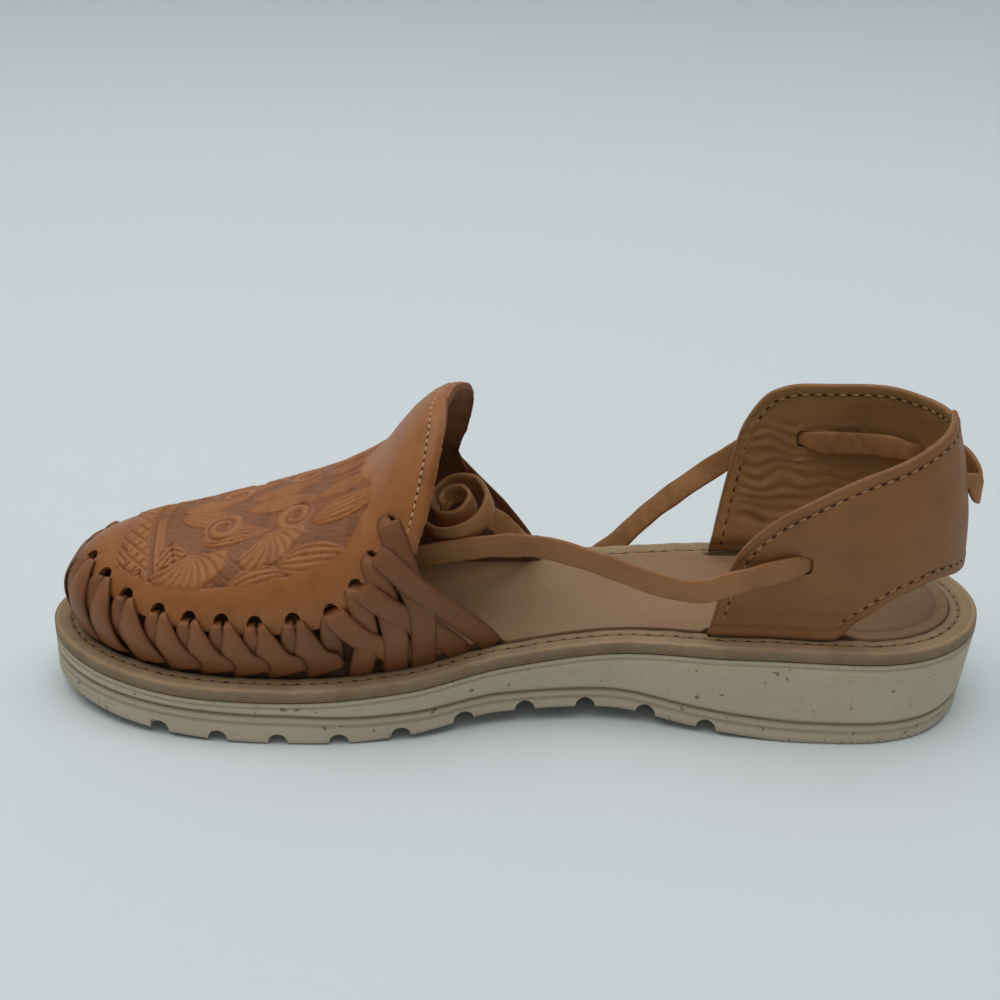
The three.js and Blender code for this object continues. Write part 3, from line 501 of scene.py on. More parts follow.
@dataclass(frozen=True)
class Last:
    """Sizes of the sole and the foot, and the surfaces worked out from them."""

    length: float = 255.0
    ball_width: float = 88.0
    waist_width: float = 59.0
    heel_width: float = 63.0
    toe_swing: float = 4.5
    heel_top: float = 27.0
    ball_top: float = 15.5
    toe_spring: float = 8.0
    arch_rise: float = 4.0
    heel_taper: float = 3.5
    clearance: float = 0.4
    line_height: float = 6.0
    welt_thickness: float = 3.2
    welt_ledge: float = 7.5
    insole_rise: float = 0.6
    instep_height: float = 67.5
    instep_ridge: float = 3.0
    vamp_bulge: float = 4.5
    vamp_rear: float = 0.47
    spine_rear: float = 9.2
    spine_front: float = 92.0
    fullness: float = 2.5
    outer_lag: float = 0.03
    strap_height: float = 57.0
    strap_front: float = 0.294
    strap_front_outer: float = 0.281
    heel_round: float = 0.135
    toe_round_inner: float = 0.27
    toe_round_outer: float = 0.36
    BULGE_PEAK = 27 / 4

    def __post_init__(self) -> None:
        """Works the tables out into curves over the share of the length."""
        at = [0.00, 0.14, 0.26, 0.39, 0.50, 0.60, 0.70, 0.82, 1.00]
        size = [self.heel_width] * 3 + [self.waist_width] * 2 + [self.ball_width] * 4
        inner = [0.476, 0.479, 0.454, 0.400, 0.461, 0.414, 0.450, 0.450, 0.432]
        outer = [0.508, 0.517, 0.556, 0.590, 0.641, 0.493, 0.536, 0.551, 0.534]
        swing = [0.00, 0.00, 0.00, 0.00, 0.04, 0.11, 0.22, 0.44, 1.00]
        side = [0.00, 0.07, 0.19, 0.30, 0.40, 0.50, 0.60, 0.66, 0.74, 0.82, 0.91, 1.00]
        stack = np.array([1, 1, 1, 0.913, 0.739, 0.478, 0.217, 0.1, 0.02, 0, 0, 0])
        lift = np.array([0, 0, 0, 0, 0, 0, 0, 0, 0, 0.04, 0.20, 0.56])
        arch = np.array([0.38, 0, 0, 0.38, 1, 0.88, 0.25, 0, 0, 0, 0, 0])
        spring = np.array([0, 0, 0, 0, 0, 0, 0, 0, 0, 0.08, 0.28, 0.66])
        line = np.array([1, 1, 1, 1, 0.98, 1, 1.18, 1.3, 1.4, 1.35, 1.25, 1.15])
        taper = np.array([1, 0.1, -0.5, -0.2, 0.1, 0.2, 0.1, 0, -0.1, -0.1, -0.1, 0])
        crest_at = [0.52, 0.563, 0.577, 0.597, 0.618, 0.642, 0.685, 0.73, 0.77, 0.84, 0.92, 1.00]
        crest = np.array([1.02, 1, 0.985, 0.93, 0.845, 0.738, 0.655, 0.594, 0.548, 0.488, 0.44, 0.375])
        bulge_at = [0.48, 0.58, 0.70, 0.85, 1.00]
        curves = {
            "inner_half": Curve(at, np.array(size) * inner),
            "outer_half": Curve(at, np.array(size) * outer),
            "axis": Curve(at, self.toe_swing * np.array(swing)),
            "welt_top": Curve(side, self.ball_top + (self.heel_top - self.ball_top) * stack
                              + self.toe_spring * lift),
            "ground": Curve(side, self.arch_rise * arch + self.toe_spring * spring),
            "line_rise": Curve(side, self.line_height * line),
            "taper": Curve(side, self.heel_taper * taper),
            "crest": Curve(crest_at, self.instep_height * crest),
            "bulge_inner": Curve(bulge_at, self.vamp_bulge * np.array([0.55, 1.3, 0.8, 0.75, 1.0])),
            "bulge_outer": Curve(bulge_at, self.vamp_bulge * np.array([0.45, 0.8, 0.6, 0.7, 1.0])),
            "throat": Curve([0, 0.05, 0.11, 0.18, 0.235, 0.29, 0.41, 0.55, 0.77, 0.925, 1.0],
                            [0.501, 0.519, 0.540, 0.562, 0.581, 0.584, 0.570, 0.556, 0.538, 0.528, 0.515]),
            "flare_back": Curve([-0.1, 0, 0.25, 0.55, 1.05], [0, 0, 3.0, 2.2, -3.8]),
            "flare_side": Curve([-0.1, 0, 0.25, 0.55, 1.05], [0, 0, 2.2, 3.2, 2.0]),
        }
        for name, curve in curves.items():
            object.__setattr__(self, name, curve)

    def share_at(self, x: Array) -> Array:
        """Share of the length at x."""
        return x / self.length + 0.5

    def share_of(self, turn: Array) -> Array:
        """Share of the length at a turn."""
        return (1 - np.cos(turn)) / 2

    def turn_of(self, share: Array) -> Array:
        """Turn on the inner side at a share of the length."""
        return np.arccos(np.clip(1 - 2 * share, -1, 1))

    def outline(self, turn: Array) -> Array:
        """Outline of the sole: half widths by the table, rounded at the ends by superellipses.

        Args:
            turn: turns round the sole.

        Returns:
            x and y, on the last axis.
        """
        share = self.share_of(turn)
        inner = np.sin(turn) >= 0
        toe = np.where(inner, self.toe_round_inner, self.toe_round_outer)
        heel_end = np.sqrt(np.maximum(0, 1 - np.clip((self.heel_round - share) / self.heel_round, 0, 1) ** 2.2))
        toe_end = np.sqrt(np.maximum(0, 1 - np.clip((share - 1 + toe) / toe, 0, 1) ** 2.25))
        half = np.where(inner, self.inner_half(share), -self.outer_half(share))
        return np.stack([(share - 0.5) * self.length, self.axis(share) + half * heel_end * toe_end], -1)

    def normal(self, turn: Array) -> Array:
        """Outward normal of the outline in plan."""
        along = unit(self.outline(turn + 0.02) - self.outline(turn - 0.02))
        return np.stack([-along[..., 1], along[..., 0]], -1)

    def edge(self, turn: Array, inset: Array | float) -> Array:
        """Outline moved inwards by an inset."""
        return self.outline(turn) - self.normal(turn) * np.asarray(inset)[..., None]

    @property
    def foot_inset(self) -> float:
        """Inset of the foot line, where the upper passes down beside the insole."""
        return self.welt_ledge + self.clearance

    def vamp(self, turn: Array, rise: Array) -> Array:
        """Point of the vamp: a superellipse from the foot line (rise 0) to the spine (rise 1), with a bulge.

        Args:
            turn: turn of the meridian's foot.
            rise: way up the meridian.

        Returns:
            Points on the last axis.
        """
        turn, rise = np.broadcast_arrays(turn, rise)
        share = self.share_of(turn)
        foot = self.edge(turn, self.foot_inset)
        way = (share - self.vamp_rear) / (1 - self.vamp_rear)
        spine_x = self.spine_rear + (self.spine_front - self.spine_rear) * way
        spine = np.stack([spine_x, np.full_like(spine_x, self.instep_ridge)], -1)
        angle = np.clip(rise, 0, 1) * np.pi / 2
        inward = 1 - np.maximum(np.cos(angle), 0) ** (2 / self.fullness)
        upward = np.sin(angle) ** (2 / self.fullness)
        bulge = np.where(np.sin(turn) >= 0, self.bulge_inner(share), self.bulge_outer(share))
        push = bulge * self.BULGE_PEAK * rise * (1 - rise) ** 2
        p = foot + (spine - foot) * inward[..., None] + self.normal(turn) * push[..., None]
        base = self.welt_top(self.share_at(foot[..., 0]))
        here = self.share_at(p[..., 0])
        top = self.welt_top(here) + self.crest(here)
        return np.concatenate([p, (base + (top - base) * upward)[..., None]], -1)

    def vamp_normal(self, turn: Array, rise: Array) -> Array:
        """Outward normal of the vamp by central differences."""
        turn, rise = np.broadcast_arrays(turn, rise)
        high = np.minimum(rise, 0.985)
        low = np.maximum(high - 0.01, 0)
        along = self.vamp(turn + 0.01, high) - self.vamp(turn - 0.01, high)
        up = self.vamp(turn, high + 0.01) - self.vamp(turn, low)
        return -unit(np.cross(along, up))

    def lag(self, share: Array, rise: Array) -> Array:
        """How far the outer side lags behind the inner, fading out to the toe and to the crest."""
        return self.outer_lag * np.clip((0.75 - share) / 0.2, 0, 1) * (1 - rise**3)

    def outer_share(self, share: Array, rise: Array) -> Array:
        """Share on the outer side of a place on the inner side."""
        return share - self.lag(share, rise)

    def inner_share(self, share: Array, rise: Array) -> Array:
        """Share on the inner side that stands across from a place on the outer side, to the first order."""
        return share + self.lag(share, rise)

    def vamp_turn(self, side: Side, share: Array, rise: Array) -> Array:
        """Turn of a place on the vamp's named side."""
        if side is Side.INNER:
            return self.turn_of(share)
        return 2 * np.pi - self.turn_of(self.outer_share(share, rise))

    def vamp_frame(self, side: Side, share: Array, rise: Array) -> tuple[Array, Array, Array, Array]:
        """Point, outward normal, direction to the toe and direction up the wall.

        Args:
            side: side of the foot.
            share: place along the vamp.
            rise: place up the vamp.

        Returns:
            Four arrays of vectors.
        """
        share, rise = np.broadcast_arrays(np.asarray(share, float), np.asarray(rise, float))
        turn = self.vamp_turn(side, share, rise)
        point = self.vamp(turn, rise)
        normal = self.vamp_normal(turn, rise)
        ahead = unit(self.vamp(turn + side.value * 0.01, rise) - point)
        up = unit(np.cross(ahead, normal) * side.value)
        return point, normal, ahead, up

    def strap(self, turn: Array, height: Array, depth: Array | float) -> Array:
        """Point of the heel strap's wall: the foot line flared by height, at a depth from the outer face."""
        turn, height = np.broadcast_arrays(turn, height)
        back = np.cos(turn) ** 4
        part = height / self.strap_height
        flare = self.flare_back(part) * back + self.flare_side(part) * (1 - back)
        p = self.edge(turn, self.foot_inset - flare + depth)
        return np.concatenate([p, (self.welt_top(self.share_at(p[..., 0])) + height)[..., None]], -1)

    def strap_place(self, way: Array, share: Array, depth: Array | float) -> Array:
        """Point by the way from the back centre (minus on the outer side) and a share of the strap's height."""
        way = np.asarray(way, float)
        front = self.turn_of(np.where(way >= 0, self.strap_front, self.strap_front_outer))
        return self.strap(way * front, np.asarray(share) * self.strap_height, depth)


LAST = Last()


# Stitching


@dataclass(frozen=True)
class Stitching:
    """A row of stitches: short thread capsules half sunk in the leather, with a dark bead at each gap that paints the
    shade of its stitch hole.
    """

    pitch: float = 2.6
    thread: float = 0.62
    radius: float = 0.32
    sink: float = 0.05

    def lay(self, threads: Shell, holes: Shell, line: Array, normal: Array) -> None:
        """Lays stitches along a line.

        Args:
            threads: takes the capsules.
            holes: takes the dark beads that paint the shade of the stitch holes.
            line: points of the seam.
            normal: outward normal at each point.
        """
        joined = even(np.hstack([line, normal]), self.pitch)
        middle = (joined[1:] + joined[:-1]) / 2
        along = unit(joined[1:, :3] - joined[:-1, :3])
        up = unit(middle[:, 3:])
        across = unit(np.cross(up, along))
        centre = middle[:, :3] + up * self.sink
        self._beads(threads, centre, along, across, up, self.pitch * self.thread / 2, self.radius, self.radius * 0.8)
        # a dark flat bead at each gap: painted shade of the stitch hole
        gap = joined[:-1, :3] + unit(joined[:-1, 3:]) * 0.03
        self._beads(holes, gap, along, across, up, self.pitch * 0.21, self.radius * 0.95, 0.10)

    @staticmethod
    def _beads(shell: Shell, centre: Array, along: Array, across: Array, up: Array,
               half: float, wide: float, tall: float) -> None:
        """Adds ellipsoids: rings of six points at cosine steps along, scaled by the sine.

        Args:
            shell: takes the beads.
            centre: their centres.
            along: their long axes.
            across: their second axes.
            up: their third axes.
            half: half length.
            wide: half width.
            tall: half height.
        """
        step = np.linspace(0, np.pi, 6)[:, None]
        round_ = np.linspace(0, 2 * np.pi, 6, endpoint=False)[None, :]
        a = np.broadcast_to(half * np.cos(step), (6, 6)).ravel()
        b = (wide * np.sin(step) * np.cos(round_)).ravel()
        c = (tall * np.sin(step) * np.sin(round_)).ravel()
        points = (centre[:, None] + along[:, None] * a[None, :, None] + across[:, None] * b[None, :, None]
                  + up[:, None] * c[None, :, None])
        faces = grid_faces(6, 6, wrap_columns=True)
        count = len(centre)
        shell.add(points, (faces[None] + (np.arange(count) * 36)[:, None, None]))


# Sole, welt and insole


@dataclass
class Outsole:
    """Moulded sole: lines and lip round its side, ribbed ends and notches along the lower edge."""

    stations: int = 640
    line_width: float = 1.2
    line_depth: float = 0.9
    second_drop: float = 2.4
    second_depth: float = 0.45
    lip_height: float = 1.4
    lip_depth: float = 0.6
    chamfer: float = 0.7
    notch_first: float = 0.288
    notch_pitch: float = 16.2
    notch_count: int = 10
    notch_width: float = 5.4
    notch_height: float = 3.2
    notch_depth: float = 9.0
    rib_pitch: float = 2.3
    rib_depth: float = 0.5
    rib_height: float = 3.6
    sharp: float = 34.0

    def body(self) -> bpy.types.Object:
        """Side as a stack of loops: the inset is the taper plus troughs at the two lines, a lip and a chamfer."""
        turn = np.linspace(0, 2 * np.pi, self.stations, endpoint=False)[None, :]
        way = np.concatenate([[0, 0.02, 0.05], np.linspace(0.08, 0.96, 58), [0.98, 0.992, 1.0]])[:, None]
        share = LAST.share_of(turn)
        low, high = LAST.ground(share), LAST.welt_top(share) - LAST.welt_thickness - LAST.clearance
        height = low + (high - low) * way
        line = low + LAST.line_rise(share)

        def trough(centre: Array, depth: float, width: float) -> Array:
            """Soft round groove: depth times a bell of the distance from the centre."""
            return depth * bell(height - centre, width * 0.42)

        inset = LAST.taper(share) * (1 - way)
        inset = inset + trough(line, self.line_depth, self.line_width)
        inset = inset + trough(line - self.second_drop, self.second_depth, self.line_width)
        inset = inset + trough(high - self.lip_height, self.lip_depth, 1.0)
        inset = inset + self.chamfer * (1 - smooth(0, self.chamfer, height - low))
        inset = inset + 0.35 * smooth(high - 0.5, high, height)
        outline = LAST.outline(np.append(turn[0], 2 * np.pi))
        walked = np.concatenate([[0], np.cumsum(np.linalg.norm(np.diff(outline, axis=0), axis=1))])[:-1]
        comb = 0.5 - 0.5 * np.cos(2 * np.pi * walked / self.rib_pitch)
        ends = np.clip(1 - smooth(0.17, 0.21, share) + smooth(0.90, 0.93, share), 0, 1)
        foot = 1 - smooth(self.rib_height * 0.75, self.rib_height, height - low)
        inset = inset + self.rib_depth * comb[None, :] * ends * foot
        edge = LAST.edge(np.broadcast_to(turn, inset.shape), inset)
        here = LAST.share_at(edge[..., 0])
        low, high = LAST.ground(here), LAST.welt_top(here) - LAST.welt_thickness - LAST.clearance
        points = np.concatenate([edge, (low + (high - low) * way)[..., None]], -1)
        shell = Shell()
        # painted shade: darker in the two grooves and along the lower edge by the floor
        groove_and_edge_shade = 0.5 * bell(height - line, 0.8) + 0.28 * bell(height - line + self.second_drop, 0.7)
        groove_and_edge_shade = groove_and_edge_shade + 0.25 * (1 - smooth(0, 1.5, height - low))
        shell.tube(points, on_tip=True, dark=np.clip(groove_and_edge_shade, 0, 0.8), light=0.0)
        return outward(shell.build("outsole", PALETTE.several("sole", "sole"), sharp=self.sharp))

    def cutters(self) -> bpy.types.Object:
        """Arched prisms that stand across the lower edge, one a notch on both sides."""
        shell = Shell()
        half = self.notch_width / 2
        angle = np.linspace(0, np.pi, 9)
        x = np.concatenate([[-half, half], half * np.cos(angle)])
        z = np.concatenate([[-3, -3], self.notch_height - half + half * np.sin(angle)])
        for side in Side:
            for k in range(self.notch_count):
                share = self.notch_first + k * self.notch_pitch / LAST.length
                edge = LAST.outline(side.value * LAST.turn_of(share))
                ground = float(LAST.ground(share))
                rows = [np.stack([edge[0] + x, np.full_like(x, edge[1] + side.value * y), ground + z], 1)
                        for y in (-self.notch_depth, 4.0)]
                # dark=0.75 paints shade on the notch walls that the cut leaves
                shell.prism(rows, 1, dark=0.75, light=0.0)
        return outward(shell.build("notch_cutters", PALETTE.several("sole", "sole")))

    def build(self) -> list[bpy.types.Object]:
        """Cuts the notches and hands the sole over."""
        body = self.body()
        carve(body, self.cutters(), self.sharp)
        dress(body, "sole", "sole")
        return [body]


@dataclass
class Welt:
    """Flat leather ring with rounded edges, a stitched channel and a joint."""

    stations: int = 640
    stitch_inset: float = 4.9
    rounding: float = 0.45
    channel_depth: float = 0.35
    channel_width: float = 0.55
    joint_x: float = -46.0
    joint_width: float = 0.35
    thread_drop: float = 0.22
    seam_points: int = 900

    def build(self) -> list[bpy.types.Object]:
        """Section carried round the outline: outer face, rounded edge, top with a channel, inner face, underside."""
        turn = np.linspace(0, 2 * np.pi, self.stations, endpoint=False)[None, :]
        thick = LAST.welt_thickness
        round_ = np.linspace(0, np.pi / 2, 6)
        bow = self.rounding
        inset = np.concatenate([[0.25, 0.0], bow - bow * np.cos(round_), np.linspace(0.8, 7.1, 28), [7.4, 7.5, 7.5]])
        drop = np.concatenate([[thick, thick - 0.3], bow - bow * np.sin(round_), np.zeros(28), [0.1, 0.5, thick]])
        channel = self.channel_depth * bell(inset - self.stitch_inset, self.channel_width)
        uneven = 0.10 * ripple(LAST.share_of(turn) * 30, np.sign(np.sin(turn)) * 3, 4)
        edge = LAST.edge(np.broadcast_to(turn, (len(inset), self.stations)), inset[:, None] + 0 * turn)
        here = LAST.share_at(edge[..., 0])
        z = LAST.welt_top(here) - (drop + channel)[:, None] + np.where(drop[:, None] < 0.2, uneven, 0)
        points = np.concatenate([edge, z[..., None]], -1)
        # painted shade: darker at the inner edge under the upper and down the outer face towards the sole; the stitch
        # channel is darker too and the joint is a dark line
        dark = 0.35 * bell(inset - self.stitch_inset, 0.6) + 0.5 * smooth(6.2, 7.4, inset)
        dark = dark + 0.35 * smooth(0.9, 0.0, inset) * smooth(0.6, 2.4, drop)
        joint = bell(LAST.outline(turn)[..., 0] - self.joint_x, self.joint_width) * (np.sin(turn) > 0)
        dark = dark[:, None] + 0.8 * joint
        shell = Shell()
        # painted highlight: a lighter band along the outer rim of the top
        light = 0.5 * smooth(0.4, 0.9, 1 - np.abs(inset - 0.9))[:, None] + 0 * turn
        shell.add(points, grid_faces(*points.shape[:2], wrap_rows=True, wrap_columns=True),
                  dark=np.clip(dark, 0, 0.9), light=light)
        ring = outward(shell.build("welt_ring", PALETTE.several("welt")))
        dress(ring, "welt", "welt")
        threads, holes = Shell(), Shell()
        seam = np.linspace(0, 2 * np.pi, self.seam_points)
        edge = LAST.edge(seam, self.stitch_inset)
        z = LAST.welt_top(LAST.share_at(edge[:, 0])) - self.thread_drop
        line = np.concatenate([edge, z[:, None]], 1)
        upward = np.tile([0.0, 0, 1], (self.seam_points, 1))
        Stitching(pitch=3.8, thread=0.80, radius=0.24).lay(threads, holes, line, upward)
        pieces = [threads.build("welt_thread", PALETTE.several("tan_thread")),
                  holes.build("welt_hole_shade", PALETTE.several("hole"))]
        for piece in pieces:
            dress(piece, "welt")
        return [ring, *pieces]


@dataclass
class Insole:
    """Leather board inside the welt, dished a little under the heel, with a faint line pressed round it."""

    stations: int = 480
    vamp_rear: float = 0.501
    vamp_room: float = 2.2
    strap_room: float = 2.3
    overlap: float = 0.35

    def build(self) -> list[bpy.types.Object]:
        """Rings from the foot line to the middle; depth is a soft dish of the distance from the edge."""
        turn = np.linspace(0, 2 * np.pi, self.stations, endpoint=False)[None, :]
        share = LAST.share_of(turn)
        rear = np.where(np.sin(turn) >= 0, self.vamp_rear, LAST.outer_share(self.vamp_rear, 0))
        front = np.where(np.sin(turn) >= 0, LAST.strap_front, LAST.strap_front_outer)
        vamp = 1 - np.clip((rear - share - 0.002) / 0.006, 0, 1)
        way = np.minimum(turn, 2 * np.pi - turn) / LAST.turn_of(front)
        strap = (1 - np.clip((share - front - 0.002) / 0.006, 0, 1)) * smooth(0.64, 0.70, way)
        wall = np.maximum(vamp * self.vamp_room, strap * self.strap_room) + LAST.foot_inset - self.overlap
        sunk = LAST.welt_thickness - 0.2
        inset = [0.0, 0.0, 0.15, 0.5, 1.2, 2.4, 3.2, 3.6, 4.0, 4.4, 5.2, 7.0, 9.5, 12.5, 16.0, 20.0]
        drop = [sunk, 0.8, 0.2, 0.0, 0, 0, 0.02, 0.16, 0.22, 0.06, 0, 0, 0, 0, 0, 0]
        # painted shade at the board's edge against the upper's wall, and a darker band along the pressed line
        edge_shade_and_line = [0.6, 0.5, 0.3, 0.15, 0.08, 0.05, 0.2, 0.5, 0.55, 0.2, 0.05, 0, 0, 0, 0, 0]
        rows, darks = [], []
        for step, down, dark in zip(inset, drop, edge_shade_and_line):
            edge = LAST.edge(turn, wall + step)
            here = LAST.share_at(edge[..., 0])
            heel = 1 - smooth(0.22, 0.34, here)
            z = LAST.welt_top(here) + LAST.insole_rise - down * (1 if down > 0.5 else heel)
            rows.append(np.concatenate([edge, z[..., None]], -1)[0])
            darks.append(np.broadcast_to(dark * (heel if 0.015 < down < 0.5 else 1), turn.shape)[0])
        points = np.array(rows)
        shell = Shell()
        shell.tube(points, on_tip=True, dark=np.array(darks) * 0.7, light=0.0)
        board = outward(shell.build("insole_board", PALETTE.several("insole")))
        dress(board, "insole", "insole")
        return [board]


# Vamp


class Motif(Enum):
    """Kinds of tooled figure."""

    FAN = "fan"
    FLOW = "flow"
    LEAF = "leaf"
    SCROLL = "scroll"
    STEM = "stem"


@dataclass(frozen=True)
class Figure:
    """One tooled figure: kind, centre along the crest and from it, direction in degrees, length and width."""

    kind: Motif
    x: float
    t: float
    angle: float
    length: float
    width: float

    def press(self, x: Array, t: Array) -> tuple[Array, Array]:
        """Relief of the figure.

        Args:
            x: place along the crest, in millimetres.
            t: distance from the crest over the surface.

        Returns:
            The share of the figure at each place, and its height there in millimetres.
        """
        a = math.radians(self.angle)
        u = ((x - self.x) * math.cos(a) + (t - self.t) * math.sin(a)) / self.length
        v = (-(x - self.x) * math.sin(a) + (t - self.t) * math.cos(a)) / self.width
        return getattr(self, self.kind.value)(u, v)

    def leaf(self, u: Array, v: Array) -> tuple[Array, Array]:
        """Leaf from 0 to 1 along u with a lobed edge, a midrib and veins that run back from it."""
        bend = v - 0.35 * u * (1 - u)
        inside = np.clip(u, 0, 1)
        half = np.sin(np.pi * inside**0.8) * (0.88 + 0.12 * np.abs(np.cos(np.pi * 5.5 * inside)))
        gap = (half - np.abs(bend)) * self.width
        share = smooth(0, 0.5, gap) * (u > 0) * (u < 1)
        veins = (u * self.length - 0.9 * np.abs(bend) * self.width) / 2.1
        ridge = np.abs((veins % 1) - 0.5) * 2
        height = 0.22 - 0.42 * bell(gap, 0.45) - 0.36 * (1 - smooth(0.0, 0.55, ridge))
        height = height - 0.34 * bell(bend * self.width, 0.4) * (u < 0.9)
        return share, height

    def fan(self, u: Array, v: Array) -> tuple[Array, Array]:
        """Fan from its root at the centre: a lobed edge and bowed veins at even angles."""
        radius, angle = np.hypot(u, v), np.arctan2(v, u)
        gap = (0.90 + 0.10 * np.abs(np.cos(4 * angle)) - radius) * self.length
        wing = (1.30 - np.abs(angle)) * np.maximum(radius, 0.15) * self.length
        share = smooth(0, 0.5, np.minimum(gap, wing))
        beam = (angle + 0.55 * radius) / 0.27
        vein = np.abs((beam % 1) - 0.5) * 0.27 * radius * self.length
        height = 0.24 - 0.42 * bell(np.minimum(gap, wing), 0.5) - 0.30 * bell(vein, 0.34)
        return share, height

    def flow(self, u: Array, v: Array) -> tuple[Array, Array]:
        """Long bowed leaf whose grooves run from its root to its tip."""
        bend = v - 1.1 * u * (1 - u)
        inside = np.clip(u, 0, 1)
        half = np.maximum(np.sin(np.pi * inside**0.7), 0.02)
        gap = (half - np.abs(bend)) * self.width
        share = smooth(0, 0.5, gap) * (u > 0) * (u < 1)
        lane = bend / half * 2.5
        vein = np.abs((lane % 1) - 0.5) * half * self.width / 2.5
        height = 0.24 - 0.42 * bell(gap, 0.5) - 0.30 * bell(vein, 0.36)
        return share, height

    def scroll(self, u: Array, v: Array) -> tuple[Array, Array]:
        """Scroll: two turns of a logarithmic spiral cut as one groove, inside a round field."""
        radius = np.maximum(np.hypot(u, v), 0.02)
        angle = np.arctan2(v, u) / (2 * np.pi)
        turns = np.log(radius / 0.12) / math.log(2.6) - angle
        groove = np.abs((turns % 1) - 0.5) * 2
        wide = radius * self.length * 0.48
        share = smooth(0, 0.4, (1 - radius) * self.length)
        cut = bell((1 - groove) * wide, 0.55)
        height = 0.22 - 0.45 * cut - 0.3 * bell((1 - radius) * self.length, 0.45)
        return share, height

    def stem(self, u: Array, v: Array) -> tuple[Array, Array]:
        """Stem: a bowed band of even width between two grooves, with a line down its middle."""
        bend = v - 1.6 * (u - 0.5) ** 2
        gap = (1 - np.abs(bend)) * self.width
        share = smooth(0, 0.4, gap) * smooth(0, 0.06, u) * smooth(1, 0.94, u)
        height = 0.28 - 0.5 * bell(gap, 0.4) - 0.22 * bell(bend * self.width, 0.35)
        return share, height


FIGURES = (
    Figure(Motif.LEAF, 106.0, 8.0, 78.0, 19.0, 5.4),
    Figure(Motif.STEM, 95.5, 1.0, 98.0, 34.0, 1.6),
    Figure(Motif.LEAF, 91.0, 12.0, 104.0, 20.0, 4.8),
    Figure(Motif.LEAF, 97.5, 20.0, 66.0, 12.0, 4.2),
    Figure(Motif.FLOW, 90.0, 1.0, 150.0, 22.0, 4.6),
    Figure(Motif.FLOW, 83.0, 14.0, 176.0, 22.0, 4.4),
    Figure(Motif.FAN, 85.0, 17.5, 100.0, 13.0, 13.0),
    Figure(Motif.SCROLL, 76.5, 9.5, 30.0, 5.6, 5.6),
    Figure(Motif.FLOW, 74.0, 31.0, 186.0, 20.0, 4.0),
    Figure(Motif.FAN, 64.0, 15.5, 118.0, 11.5, 11.5),
    Figure(Motif.FLOW, 72.0, 3.0, 168.0, 26.0, 4.2),
    Figure(Motif.SCROLL, 56.5, 12.0, 210.0, 5.2, 5.2),
    Figure(Motif.FLOW, 60.0, 26.0, 168.0, 24.0, 4.4),
    Figure(Motif.FLOW, 52.0, 16.0, 178.0, 24.0, 4.2),
    Figure(Motif.FLOW, 52.0, 6.5, 176.0, 22.0, 3.6),
    Figure(Motif.FLOW, 50.0, 0.0, 180.0, 18.0, 2.6),
)


